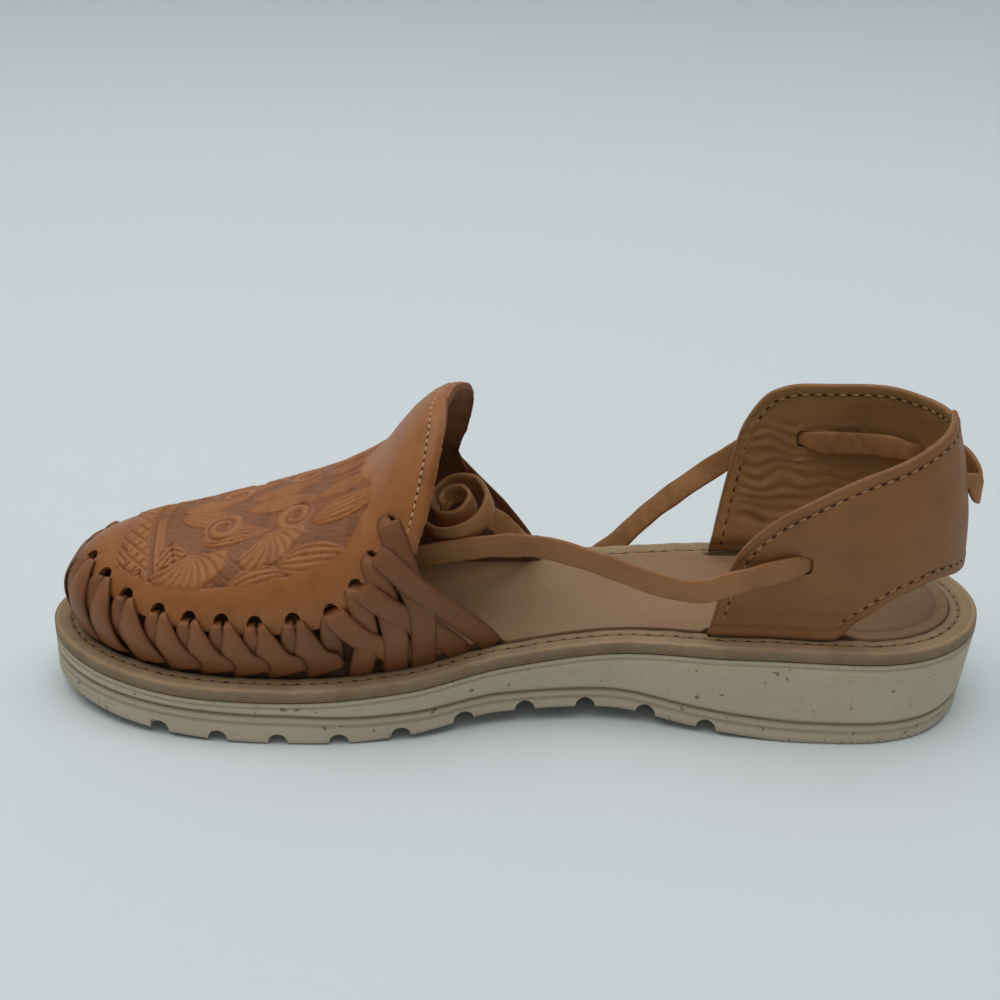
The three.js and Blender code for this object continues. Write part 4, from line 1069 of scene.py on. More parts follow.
@dataclass
class Vamp:
    """Tooled vamp: a leather wall over the last, with slots, gaps of the weave and a stitched throat."""

    wall: float = 1.8
    along: int = 290
    across: int = 300
    seam: float = 3.2
    slot_length: float = 4.6
    slot_width: float = 3.0
    relief: float = 1.35
    lattice_pitch: float = 4.1
    groove_width: float = 0.42
    cut_depth: float = 0.36
    back_along: int = 180
    back_across: int = 200
    seam_rise: float = 0.345
    seam_turn: float = 0.042
    FOLDS = ((0.590, 0.62, -0.10, 0.30), (0.606, 0.74, -0.06, -0.22), (0.628, 0.56, 0.10, 0.26),
             (0.655, 0.38, 0.18, 0.22))
    HOLE_REACH = 120
    HOLE_DEPTH = 5
    HOLE_SNAP = 0.42
    FAR_AWAY = 9.0

    def rises(self, count: int) -> Array:
        """Rises whose points lie evenly along a meridian."""
        fine = np.linspace(0, 1, 400)
        line = LAST.vamp(np.full(400, LAST.turn_of(0.72)), fine)
        length = np.concatenate([[0], np.cumsum(np.linalg.norm(np.diff(line, axis=0), axis=1))])
        return np.interp(np.linspace(0, length[-1], count), length, fine)

    @staticmethod
    def throat_turn(rise: Array, outer: Array) -> Array:
        """Turn of the throat's edge at a rise, on the outer side where outer holds."""
        share = LAST.throat(rise)
        return np.where(outer, LAST.vamp_turn(Side.OUTER, share, rise), LAST.vamp_turn(Side.INNER, share, rise))

    def sheet(self, along: int, across: int) -> tuple[Array, Array, Array]:
        """Grid of the whole vamp from the rear edge to the toe, and from the inner to the outer foot line.

        Args:
            along: steps to the toe.
            across: columns over the foot, an odd number.

        Returns:
            Points, turns and rises, in the shape of the grid.
        """
        up = self.rises(across // 2 + 1)
        rise = np.concatenate([up, up[-2::-1]])[None, :]
        outer = np.arange(rise.shape[1]) > across // 2
        rear = self.throat_turn(rise, outer) + 0.002 * ripple(rise * 80, np.where(outer, 4.0, 0.0), 71, 9)
        way = np.linspace(0, 1, along + 1)[:, None]
        turn = rear + (np.pi - rear) * way
        rise = np.broadcast_to(rise, turn.shape)
        hem = Weave.hem(turn, rise)
        step = np.abs(np.gradient(rise, axis=1))
        rise = np.where(np.abs(rise - hem) < step * 0.5, hem, rise)
        return LAST.vamp(turn, rise), turn, rise

    def pressing(self, points: Array, turn: Array, rise: Array) -> tuple[Array, Array]:
        """Tooled relief over the grid.

        Args:
            points: the grid's points.
            turn: their turns.
            rise: their rises.

        Returns:
            Height over the plain leather in millimetres, and the share of the tooled panel.
        """
        ridge = LAST.vamp(np.full(200, np.pi), np.linspace(0, 1, 200))
        x = points[..., 0]
        toe_z = np.interp(x, ridge[::-1, 0], ridge[::-1, 2])
        share = LAST.share_at(x)
        crest = np.where(x < LAST.spine_front, LAST.welt_top(share) + LAST.crest(share), toe_z)
        t = np.hypot(points[..., 1] - LAST.instep_ridge, crest - points[..., 2])
        here = LAST.share_of(turn)
        floor = Curve([0.600, 0.626, 0.657, 0.713, 0.782, 0.847, 0.9405, 0.979, 1.0],
                      [1.02, 0.745, 0.50, 0.45, 0.435, 0.435, 0.50, 0.70, 0.86])(here)
        rear = Curve([0.0, 0.5, 0.745, 1.0], [0.657, 0.657, 0.632, 0.665])(rise)
        panel = smooth(0, 0.012, rise - floor) * smooth(0, 0.006, here - rear)
        stipple = ripple(x / 1.5, t / 1.5, 11, 9)
        height = -0.16 + 0.07 * stipple
        lattice = smooth(97.5, 98.5, x + 0.10 * t)
        pitch = self.lattice_pitch
        cross = sum(bell(((way / pitch % 1) - 0.5) * pitch, self.groove_width) for way in (x + t, x - t))
        height = height + lattice * (0.30 - 0.36 * np.clip(cross, 0, 1) - height)
        for figure in FIGURES:
            share, relief = figure.press(x, t)
            height = height + share * (relief - height)
        border = bell(rise - floor - 0.012, 0.007) * panel
        height = self.relief * height * panel - 0.12 * border
        return height + self.puckers(turn, rise), panel

    def puckers(self, turn: Array, rise: Array) -> Array:
        """Soft creases: a trough over each slot, and three folds that run down from the throat."""
        share = LAST.share_of(turn)
        side = np.sign(np.sin(turn))
        share = np.where(side >= 0, share, LAST.inner_share(share, rise))
        total = np.zeros_like(share)
        for at, up, _ in Weave.SLOTS:
            trough = bell(share - at + 0.10 * (rise - up), 0.0065)
            total -= 0.34 * trough * bell(rise - up - 0.035, 0.05)
        for at, up, lean, depth in self.FOLDS:
            line = share - at - lean * (rise - up)
            total -= depth * bell(line, 0.008) * bell(rise - up, 0.13)
        return total

    def slot_shape(self) -> Array:
        """Corners of a slot: a straight foot under a round top."""
        half = self.slot_length / 2
        angle = np.radians(np.linspace(0, 180, 15))
        head = np.stack([half * np.cos(angle), self.slot_width * (1.05 * np.sin(angle) - 0.25)], 1)
        return np.vstack([[-half * 0.85, -self.slot_width * 0.5], [half * 0.85, -self.slot_width * 0.5], head])

    def pierce(self, points: Array, gaps_on: tuple[Side, ...] = tuple(Side)) -> tuple[Array, Array]:
        """Cuts slots and gaps: points near a hole's edge move onto it, and faces inside it go.

        The distance to a hole is the greatest of those past its sides, in the plane of its middle.

        Args:
            points: the grid's points, one a row.
            gaps_on: sides on which the gaps of the weave are cut too.

        Returns:
            The moved points, and the depth inside the deepest hole, under 0 where inside.
        """
        moved = points.copy()
        nearest = np.full(len(points), self.FAR_AWAY)
        for corners, centre, ahead, up, out in self.holes(gaps_on):
            rel = moved - centre
            close = np.einsum("ij,ij->i", rel, rel) < self.HOLE_REACH
            close &= np.abs(rel @ out) < self.HOLE_DEPTH
            index = np.nonzero(close)[0]
            flat = np.stack([rel[index] @ ahead, rel[index] @ up], 1)
            following = np.roll(corners, -1, axis=0)
            run = unit(following - corners)
            outwards = np.stack([run[:, 1], -run[:, 0]], 1)
            area = np.sum(corners[:, 0] * following[:, 1] - corners[:, 1] * following[:, 0])
            outwards = outwards * np.sign(area)
            gaps = np.einsum("nij,ij->ni", flat[:, None] - corners[None], outwards)
            side = gaps.argmax(1)
            gap = gaps[np.arange(len(index)), side]
            near = np.abs(gap) < self.HOLE_SNAP
            push = -(gap[near, None]) * outwards[side[near]]
            moved[index[near]] += push[:, :1] * ahead + push[:, 1:] * up
            gap = np.where(near, 0.0, gap)
            nearest[index] = np.minimum(nearest[index], gap)
        return moved, nearest

    def holes(self, gaps_on: tuple[Side, ...]) -> list[tuple[Array, Array, Array, Array, Array]]:
        """Corners of every hole in its own plane, with the plane's middle and axes."""
        found = []
        for side in Side:
            for share, rise, _ in Weave.SLOTS:
                point, out, ahead, up = LAST.vamp_frame(side, share, rise)
                found.append((self.slot_shape(), point, ahead, up, out))
            if side not in gaps_on:
                continue
            gaps = [np.array(gap) for gap in Weave.GAPS]
            for share, rise, _ in Weave.SLOTS[2:Weave.SHINGLES - 1]:
                gaps.append(np.array([[share - 0.006, 0.085], [share - 0.024, 0.025], [share - 0.018, 0.095]]))
            for gap in gaps:
                corner, out, _, _ = LAST.vamp_frame(side, gap[:, 0], gap[:, 1])
                middle = corner.mean(0)
                _, out, ahead, up = LAST.vamp_frame(side, gap[:, 0].mean(), gap[:, 1].mean())
                rel = corner - middle
                found.append((np.stack([rel @ ahead, rel @ up], 1), middle, ahead, up, out))
        return found

    def face(self) -> bpy.types.Object:
        """Outer face with its relief, then a cut edge drawn in from every open side."""
        points, turn, rise = self.sheet(self.along, self.across)
        normal = LAST.vamp_normal(turn, rise)
        height, panel = self.pressing(points, turn, rise)
        rear = np.linspace(0, 1, self.along + 1)[:, None] * np.ones_like(rise)
        sag = 0.12 * ripple(points[..., 0] / 26, points[..., 1] / 22, 3)
        rolled = -0.55 * (1 - smooth(0, 0.012, rear))
        shaped = points + normal * (height + sag + rolled)[..., None]
        rows, columns = rise.shape
        flat_normal = normal.reshape(-1, 3)
        moved, gap = self.pierce(shaped.reshape(-1, 3))
        faces = grid_faces(rows, columns)
        under = rise - Weave.hem(turn, rise)
        gone = (gap[faces].max(1) <= 1e-6) | (under.ravel()[faces].max(1) <= 1e-6)
        faces = faces[~gone]
        edges = np.concatenate([faces[:, [0, 1]], faces[:, [1, 2]], faces[:, [2, 3]], faces[:, [3, 0]]])
        key = np.sort(edges, 1)
        _, first, times = np.unique(key, axis=0, return_index=True, return_counts=True)
        open_edges = edges[first[times == 1]]
        rim = np.unique(open_edges)
        number = np.full(len(moved), -1)
        number[rim] = len(moved) + np.arange(len(rim))
        drawn = moved[rim] - flat_normal[rim] * self.wall
        start, end = open_edges.T
        rim_faces = np.stack([end, start, number[start], number[end]], 1)
        # painted shade: darker in the tooled cuts and along the hem where the strips go under. The rolled throat edge
        # is darker too, and the ripple is the leather's own uneven tone
        hem_shade = smooth(0.02, 0.0, under)
        cuts = np.clip(-height / self.cut_depth, 0, 1) * panel
        dark = 0.62 * cuts + 0.30 * hem_shade + 0.25 * (1 - smooth(0, 0.02, rear))
        dark = dark + 0.16 * smooth(0.2, 1.0, ripple(points[..., 0] / 9, points[..., 2] / 9, 8))
        # painted highlights: lighter on the raised figures and on the upper part of the plain leather
        light = 0.22 * smooth(0.05, 0.3, height) * panel + 0.12 * (1 - panel) * smooth(0.5, 0.8, rise)
        shell = Shell()
        everything = np.vstack([moved, drawn])
        slots = np.concatenate([np.zeros(len(faces), int), np.ones(len(rim_faces), int)])
        pad = np.zeros(len(rim))
        shell.add(everything, np.vstack([faces, rim_faces]), slots,
                  dark=np.concatenate([np.clip(dark, 0, 0.85).ravel(), pad + 0.3]),
                  light=np.concatenate([np.clip(light, 0, 1).ravel(), pad]))
        return shell.build("vamp_face", PALETTE.several("vamp", "edge"), sharp=60)

    def back(self) -> bpy.types.Object:
        """Rough inner face at the wall's depth, cut by the same holes."""
        points, turn, rise = self.sheet(self.back_along, self.back_across)
        normal = LAST.vamp_normal(turn, rise)
        fuzz = 0.24 * ripple(points[..., 0] / 3, points[..., 1] / 3 + points[..., 2] / 4, 21, 9)
        inner = points - normal * (self.wall + 0.02 + np.abs(fuzz))[..., None]
        moved, gap = self.pierce(inner.reshape(-1, 3), (Side.INNER,))
        faces = grid_faces(*rise.shape)
        under = rise - Weave.hem(turn, rise)
        open_side = (under <= 1e-6) & Weave.is_open(turn)
        faces = faces[~((gap[faces].max(1) <= 1e-6) | open_side.ravel()[faces].all(1))]
        shell = Shell()
        # painted shade: the inner face darker below the hem, behind the weave
        shell.add(moved, faces[:, ::-1], 0, dark=0.15 + 0.5 * smooth(0.02, -0.03, under), light=0.0)
        return shell.build("vamp_back", PALETTE.several("suede"))

    def seams(self) -> list[bpy.types.Object]:
        """Stitches beside the throat's edge, from the strip at the corner over the crest to the other side."""
        half = 80
        rise = np.concatenate([np.linspace(self.seam_rise, 1, half), np.linspace(1, self.seam_rise, half)[1:]])
        threads, holes = Shell(), Shell()
        outer = np.arange(len(rise)) >= half
        turn = self.throat_turn(rise, outer) + np.where(outer, -1, 1) * self.seam_turn
        line = LAST.vamp(turn, rise)
        normal = LAST.vamp_normal(turn, rise)
        Stitching(pitch=2.2, thread=0.62, radius=0.27).lay(threads, holes, line, normal)
        return [threads.build("throat_thread", PALETTE.several("thread")),
                holes.build("throat_hole_shade", PALETTE.several("hole"))]

    def build(self) -> list[bpy.types.Object]:
        """Makes face, back and seams."""
        face = self.face()
        dress(face, "upper", "upper")
        pieces = [self.back(), *self.seams()]
        for piece in pieces:
            dress(piece, "upper")
        return [face, *pieces]


@dataclass
class Weave:
    """Strips of the woven sides: blades with a leaf beside each at the front, longer crossing strips behind."""

    SLOTS = (
        (0.987, 0.495, 0.925), (0.954, 0.440, 0.893), (0.915, 0.355, 0.862), (0.871, 0.300, 0.826),
        (0.833, 0.270, 0.785), (0.795, 0.255, 0.742), (0.757, 0.235, 0.702), (0.716, 0.230, 0.655),
        (0.674, 0.240, 0.610), (0.648, 0.315, 0.539), (0.631, 0.400, 0.507), (0.613, 0.490, 0.574),
    )
    SHINGLES = 9
    GAPS = (
        ((0.609, 0.225), (0.598, 0.182), (0.597, 0.214)),
        ((0.6285, 0.200), (0.6225, 0.125), (0.621, 0.180)),
        ((0.5935, 0.085), (0.5975, 0.015), (0.588, 0.015)),
        ((0.6300, 0.050), (0.6250, 0.008), (0.617, 0.030)),
        ((0.6610, 0.140), (0.6620, 0.050), (0.652, 0.070)),
        ((0.5640, 0.030), (0.5640, 0.004), (0.556, 0.006)),
    )
    CROSSINGS = (
        (1.00, ((0.631, 0.415, -2.2), (0.631, 0.398, -0.9), (0.630, 0.374, 0.5), (0.615, 0.190, 0.6),
                (0.607, 0.080, 1.4), (0.607, 0.010, 0.8), (0.607, -0.01, -0.6))),
        (0.95, ((0.648, 0.330, -2.2), (0.648, 0.313, -0.9), (0.647, 0.288, 0.5), (0.638, 0.150, 0.6),
                (0.638, 0.080, 1.2), (0.643, 0.010, 0.7), (0.643, -0.01, -0.6))),
        (1.05, ((0.6135, 0.505, -2.2), (0.613, 0.488, -0.9), (0.612, 0.464, 0.5), (0.594, 0.250, 0.6),
                (0.580, 0.140, 1.5), (0.574, 0.010, 0.8), (0.574, -0.01, -0.6))),
        (1.00, ((0.674, 0.252, -2.2), (0.672, 0.238, -0.6), (0.668, 0.216, 1.2), (0.645, 0.130, 1.6),
                (0.619, 0.060, 0.9), (0.606, 0.020, 0.5))),
        (1.00, ((0.645, 0.328, -2.2), (0.643, 0.312, -0.6), (0.638, 0.286, 1.2), (0.615, 0.190, 1.6),
                (0.588, 0.110, 0.9), (0.540, 0.010, 0.6), (0.534, -0.002, -0.6))),
        (0.95, ((0.628, 0.415, -2.2), (0.625, 0.398, -0.6), (0.620, 0.370, 1.2), (0.587, 0.215, 1.8),
                (0.545, 0.095, 1.4), (0.512, 0.012, 0.9), (0.506, -0.002, -0.6))),
    )
    TOE = ((1.0, 0.500, -1.8), (1.0, 0.470, -0.7), (1.0, 0.430, 0.15), (1.0, 0.300, 0.3), (1.0, 0.150, 0.3),
           (1.0, 0.040, 0.2), (1.0, -0.010, -0.5))
    LEAF = (
        ((0.0085, 0, 1, 0.004, -2.2), (0.0095, 0, 1, -0.006, -1.0), (0.0115, 0, 1, -0.024, 0.35),
         (0.013, 0, 0.62, 0, 0.30), (0.012, 0, 0.2, 0, 0.0)),
        ((0.002, 0, 1, 0.004, -2.4), (0.001, 0, 1, -0.008, -1.1), (-0.002, 0, 1, -0.028, 0.3),
         (-0.010, 0, 0.60, 0, 0.45), (-0.014, 0, 0.2, 0, 0.1)),
    )
    BLADE = (
        ((-0.002, 0, 1, 0.006, -2.2), (-0.003, 0, 1, -0.005, -0.8), (-0.004, 0, 1, -0.024, 0.6),
         (-0.004, 0, 0.70, 0, 1.0), (-0.001, 0, 0.42, 0, 0.9), (0.003, 1, 0, 0.045, 0.55), (0, 1, 0, 0, 0.05),
         (0, 1, 0, -0.012, -0.9)),
        ((-0.008, 0, 1, 0.008, -2.2), (-0.010, 0, 1, 0, -0.6), (-0.013, 0, 1, -0.013, 0.7),
         (-0.025, 0, 0.70, 0, 1.3), (0, 0.76, 0.42, 0, 1.5), (0, 1, 0, 0.080, 1.6), (-0.006, 1, 0, 0.036, 1.1),
         (-0.005, 1, 0, 0.016, -0.4)),
    )
    LEANS = (0.011, 0.050)
    TOE_LEANS = (0.002, 0.041)
    HEM = 0.055
    TAPER = Curve([0, 0.2, 0.8, 1.0], [0.72, 0.98, 1.0, 0.92])
    TUCK = 150
    SEAT = 0.35
    TOE_SHARE = 0.93
    BLADE_SEED = 7
    STRIP_SEED = 300
    TOE_SEED = 320

    thickness: float = 1.3
    width: float = 6.8

    @classmethod
    def slot_line(cls, share: Array) -> Array:
        """Rise of the row of slots at a share of the length."""
        table = np.array(cls.SLOTS)[::-1]
        return Curve([0.45, 0.580, 0.600, *table[:, 0], 1.0], [0.345, 0.350, 0.440, *table[:, 1], 0.50])(share)

    @classmethod
    def hem(cls, turn: Array, rise: Array) -> Array:
        """Rise of the vamp leather's lower edge, a little under the row of slots."""
        share = LAST.share_of(turn)
        return cls.slot_line(np.where(np.sin(turn) >= 0, share, LAST.inner_share(share, rise))) - cls.HEM

    @staticmethod
    def is_open(turn: Array) -> Array:
        """Whether the side is open behind its last strips, as it is at the inner side's rear."""
        return (LAST.share_of(turn) < 0.592) & (np.sin(turn) >= 0)

    def lay_on(self, side: Side, share: Array, rise: Array) -> tuple[Array, Array]:
        """Point and normal on the wall; a rise under 0 goes straight down beside the insole."""
        point, normal, _, _ = LAST.vamp_frame(side, share, np.maximum(rise, 0.0))
        point[..., 2] += np.minimum(rise, 0.0) * self.TUCK
        return point, normal

    def strip(self, shell: Shell, side: Side, way: tuple, width: float, seed: int, steps: int = 40) -> None:
        """One strip: a rounded section carried along a way on the vamp.

        Args:
            shell: takes the strip.
            side: side of the foot.
            way: share, rise and layer along it, where layer 1 lies one thickness over the wall.
            width: its width.
            seed: fixes its tone.
            steps: sections along it.
        """
        path = spline(np.array(way), steps)
        share, rise, layer = path.T
        point, normal = self.lay_on(side, share, rise)
        along = unit(np.gradient(point, axis=0))
        across = unit(np.cross(normal, along))
        broad, tall = rounded(18, 0.42, 0.6)
        at = np.linspace(0, 1, steps)
        half = (width * self.TAPER(at) / 2)[:, None]
        crown = 0.28 * (1 - broad**2)
        lift = self.thickness * (layer[:, None] - self.SEAT) + tall * self.thickness / 2 + crown
        points = point[:, None] + across[:, None] * (half * broad)[..., None] + normal[:, None] * lift[..., None]
        tone = np.random.default_rng(seed).uniform(0, 0.28)
        # painted shade at both ends, where the strip goes into a slot or under, and along its rims; the seeded tone
        # is the strip's own random colour
        rim = smooth(0.78, 1.0, np.abs(broad)) * (tall > -0.9)
        dark = tone + 0.55 * smooth(0.10, 0.0, at)[:, None] + 0.35 * smooth(0.9, 1.0, at)[:, None] + 0.35 * rim
        # painted highlight along the middle of the top face
        light = 0.25 * (1 - np.abs(broad)) * (tall > 0) + 0 * at[:, None]
        shell.tube(points, dark=np.clip(dark, 0, 0.9), light=light)

    @staticmethod
    def blade_edge(rows: tuple, share: float, rise: float, lean: float) -> Array:
        """Edge of a blade or leaf that comes out of a slot.

        Args:
            rows: offset of the share, part of the lean, factor and offset of the rise, and layer, from the slot down.
            share: share of the slot.
            rise: rise of the slot.
            lean: how far back the edge runs on its way down, as a share of the length.

        Returns:
            Share, rise and layer, one place a row.
        """
        offset, part, factor, lift, layer = np.array(rows).T
        return np.stack([share + offset - lean * part, rise * factor + lift, layer], 1)

    def blade(self, shell: Shell, side: Side, left: Array, right: Array, tone: float, steps: int) -> None:
        """One blade between two edges: a rounded section spread from one edge to the other over the vamp.

        Args:
            shell: takes the blade.
            side: side of the foot.
            left: share, rise and layer along its edge nearer the toe.
            right: the same along its other edge.
            tone: how dark it is.
            steps: sections along it.
        """
        first, second = spline(left, steps)[:, None], spline(right, steps)[:, None]
        broad, tall = rounded(22, 0.5, 0.6)
        on = first + (second - first) * ((1 + broad) / 2)[..., None]
        point, normal = self.lay_on(side, on[..., 0], on[..., 1])
        lift = self.thickness * (on[..., 2] - self.SEAT) + tall * self.thickness / 2 + 0.35 * (1 - broad**2)
        points = point + normal * lift[..., None]
        at = np.linspace(0, 1, steps)[:, None]
        # painted shade at both ends and along the rims
        rim = smooth(0.82, 1.0, np.abs(broad)) * (tall > -0.9)
        dark = tone + 0.5 * smooth(0.16, 0.0, at) + 0.45 * smooth(0.82, 1.0, at) + 0.45 * rim
        # painted highlight along the top face, nearer the edge towards the toe
        light = 0.30 * (1 - np.abs(broad + 0.25)) * (tall > 0) * np.sin(np.pi * at)
        shell.tube(points, dark=np.clip(dark, 0, 0.9), light=np.clip(light, 0, 1))

    def build(self) -> list[bpy.types.Object]:
        """Leaves, blades and crossings of both sides, joined."""
        shell = Shell()
        draw = np.random.default_rng(self.BLADE_SEED)
        for side in Side:
            for share, rise, _ in self.SLOTS[:self.SHINGLES]:
                left, right = (self.blade_edge(rows, share, rise, 0.0) for rows in self.LEAF)
                # the leaves start 0.14 darker: painted shade for lying behind the blades, over a random tone
                self.blade(shell, side, left, right, 0.14 + draw.uniform(0, 0.12), 30)
            for share, rise, _ in self.SLOTS[:self.SHINGLES - 1]:
                leans = self.LEANS if share < self.TOE_SHARE else self.TOE_LEANS
                left, right = (self.blade_edge(rows, share, rise, lean) for rows, lean in zip(self.BLADE, leans))
                self.blade(shell, side, left, right, draw.uniform(0, 0.2), 44)
            for k, (width, way) in enumerate(self.CROSSINGS):
                self.strip(shell, side, way, self.width * width, self.STRIP_SEED + k)
        self.strip(shell, Side.INNER, self.TOE, self.width * 2.1, self.TOE_SEED)
        strips = outward(shell.build("woven_strips", PALETTE.several("strip"), sharp=60))
        dress(strips, "upper")
        return [strips]


# Heel strap


@dataclass
class HeelStrap:
    """Lined band round the heel: rolled upper edge, stitched edges, four slots and a creased lining."""

    wall: float = 1.9
    stations: int = 300
    rows: int = 60
    seam: float = 3.0
    seam_points: int = 1200
    seam_foot: float = 3.6
    seam_end: float = 2.0
    slot_height: float = 5.0
    slot_width: float = 2.2
    sharp: float = 72.0
    SLOTS = ((0.80, 0.395), (-0.79, 0.640), (0.05, 0.660), (-0.36, 0.650))

    def __post_init__(self) -> None:
        """Edges of the strap over the welt as shares of its height, by the way from the back centre."""
        at = [0, 0.200, 0.387, 0.532, 0.654, 0.727, 0.800, 0.869, 0.936, 0.967, 1.0]
        self.low = Curve(at, [0.245, 0.270, 0.295, 0.245, 0.110, 0, 0, 0, 0, 0, 0])
        self.inner = Curve(at, [1.0, 0.985, 0.955, 0.905, 0.845, 0.785, 0.705, 0.615, 0.468, 0.320, 0.020])
        self.outer = Curve(at, [0.965, 0.955, 0.950, 0.955, 0.948, 0.940, 0.930, 0.885, 0.700, 0.430, 0.040])

    def spread(self, way: Array, share: Array) -> Array:
        """How far the foot of the strap bends out over the welt, in millimetres."""
        return 2.3 * smooth(7.0, 0.0, share * LAST.strap_height) * smooth(0.62, 0.74, np.abs(way))

    def edges(self, way: Array) -> tuple[Array, Array]:
        """Lower and upper edge at a way, as shares of the height."""
        at = np.abs(way)
        return self.low(at), np.where(way > 0, self.inner(at), self.outer(at))

    def band(self) -> bpy.types.Object:
        """Section carried from corner to corner: outer face up, over a rolled edge, lining down, under."""
        way = np.sin(np.pi / 2 * np.linspace(-1, 1, self.stations))[:, None]
        low, high = self.edges(way)
        low = low + 0.006 * np.clip(1 - low / 0.03, 0, 1)
        up = np.linspace(0, 1, self.rows)[None, :]
        roll = np.linspace(0, np.pi, 9)[None, 1:-1]
        half = self.wall / 2
        cap = half / LAST.strap_height
        middle = (low + high) / 2
        bottom, top = np.minimum(low + cap, middle), np.maximum(high - cap, middle)
        face = bottom + (top - bottom) * up
        over = top + cap * np.sin(roll) ** 0.55
        under = bottom - cap * np.sin(roll) ** 0.55
        share = np.concatenate([face, over, face[:, ::-1], under], 1)
        depth = np.concatenate([np.zeros(self.rows), half - half * np.cos(roll[0]),
                                np.full(self.rows, self.wall), half + half * np.cos(roll[0])])[None, :]
        column = np.arange(share.shape[1])[None, :]
        lining = (column >= self.rows + 7) & (column < 2 * self.rows + 7)
        from_top = (high - share) * LAST.strap_height
        from_low = (share - low) * LAST.strap_height
        seam = bell(from_top - self.seam, 0.5) + bell(from_low - self.seam, 0.5)
        place_on = (share * LAST.strap_height, way * 100)
        creases = smooth(-0.97, -0.90, way) * smooth(-0.55, -0.68, way)
        creases = creases * smooth(0.12, 0.2, share) * smooth(0.8, 0.68, share)
        wave = np.sin(2 * np.pi * (place_on[0] / 3.4 + 0.5 * ripple(place_on[1] / 16, place_on[0] / 14, 31)))
        creases = creases * wave * (0.6 + 0.4 * ripple(place_on[1] / 7, place_on[0] / 5, 33))
        soft = 0.25 * ripple(place_on[1] / 24, place_on[0] / 22, 35)
        depth = depth + 0.16 * seam * np.where(lining, -1, 1) - np.where(lining, 0.45 * creases, 0)
        depth = depth + soft * np.clip(from_top / 6, 0, 1) - self.spread(way, share)
        points = LAST.strap_place(np.broadcast_to(way, share.shape), share, depth)
        # painted shade in the troughs of the lining's creases; the seam lines and both edges are darker too
        lip = smooth(2.2, 0.6, from_top) + 0.7 * smooth(1.6, 0.4, from_low)
        dark = 0.30 * seam + 0.22 * np.clip(lip, 0, 1) + np.where(lining, 0.25 * np.clip(-creases, 0, 1), 0)
        dark = dark + 0.12 * smooth(0.3, 1.0, ripple(place_on[1] / 14, place_on[0] / 12, 38))
        # painted highlight on the crease crests; the band just under the top edge is the lighter cut edge
        light = 0.35 * np.clip(creases, 0, 1) + 0.2 * smooth(1.2, 0.2, np.abs(from_top - 1.0))
        shell = Shell()
        lined = (column >= self.rows + 4) & (column < 2 * self.rows + 7)
        slots = np.tile(lined[0].astype(int), self.stations - 1)
        shell.tube(points, slots, dark=np.clip(dark, 0, 0.9), light=np.clip(light, 0, 1))
        return outward(shell.build("strap_band", PALETTE.several("strap", "lining", "hole"), sharp=self.sharp))

    def cutters(self) -> bpy.types.Object:
        """Upright rounded prisms through the strap, one a slot."""
        shell = Shell()
        half = self.slot_height / 2 / LAST.strap_height
        wide = self.slot_width / 2 / (LAST.length * LAST.strap_front)
        along, up = rounded(20, 0.7, 0.8)
        for way, share in self.SLOTS:
            rows = [LAST.strap_place(way + wide * along[0], share + half * up[0], depth) for depth in (-3.0, 5.0)]
            # dark=0.4 and the hole colour paint shade on the slot walls
            shell.prism(rows, 2, dark=0.4, light=0.0)
        return outward(shell.build("slot_cutters", PALETTE.several("strap", "lining", "hole")))

    def seams(self) -> list[bpy.types.Object]:
        """Stitches along both edges and up the front, on the outer face and on the lining."""
        threads, holes = Shell(), Shell()
        way = np.sin(np.pi / 2 * np.linspace(-1, 1, self.seam_points))
        low, high = self.edges(way)
        middle = LAST.strap_place(way, np.full_like(way, 0.3), 0.0)
        run = np.concatenate([[0], np.cumsum(np.linalg.norm(np.diff(middle, axis=0), axis=1))])
        for edge, turned in ((high, -1.0), (np.where(low > 0.004, low, np.nan), 1.0)):
            line = np.stack([run, edge * LAST.strap_height], 1)
            line = line[~np.isnan(line[:, 1])]
            along = unit(np.gradient(line, axis=0))
            line = line + self.seam * turned * np.stack([-along[:, 1], along[:, 0]], 1)
            at, height = line.T
            line = line[(height > self.seam_foot) & (at > self.seam_end) & (at < run[-1] - self.seam_end)]
            here, share = np.interp(line[:, 0], run, way), line[:, 1] / LAST.strap_height
            for depth, out in ((0.0, 1.0), (self.wall, -1.0)):
                bent = depth - self.spread(here, share)
                points = LAST.strap_place(here, share, bent)
                turned_out = LAST.strap_place(here, share, bent - 1.0)
                Stitching(pitch=3.4, thread=0.56).lay(threads, holes, points, unit(turned_out - points) * out)
        return [threads.build("strap_thread", PALETTE.several("tan_thread")),
                holes.build("strap_hole_shade", PALETTE.several("hole"))]

    def build(self) -> list[bpy.types.Object]:
        """Cuts the slots and hands the strap over with its seams."""
        band = self.band()
        carve(band, self.cutters(), self.sharp)
        dress(band, "heel_strap", "strap")
        pieces = self.seams()
        for piece in pieces:
            dress(piece, "heel_strap")
        return [band, *pieces]


# Lace


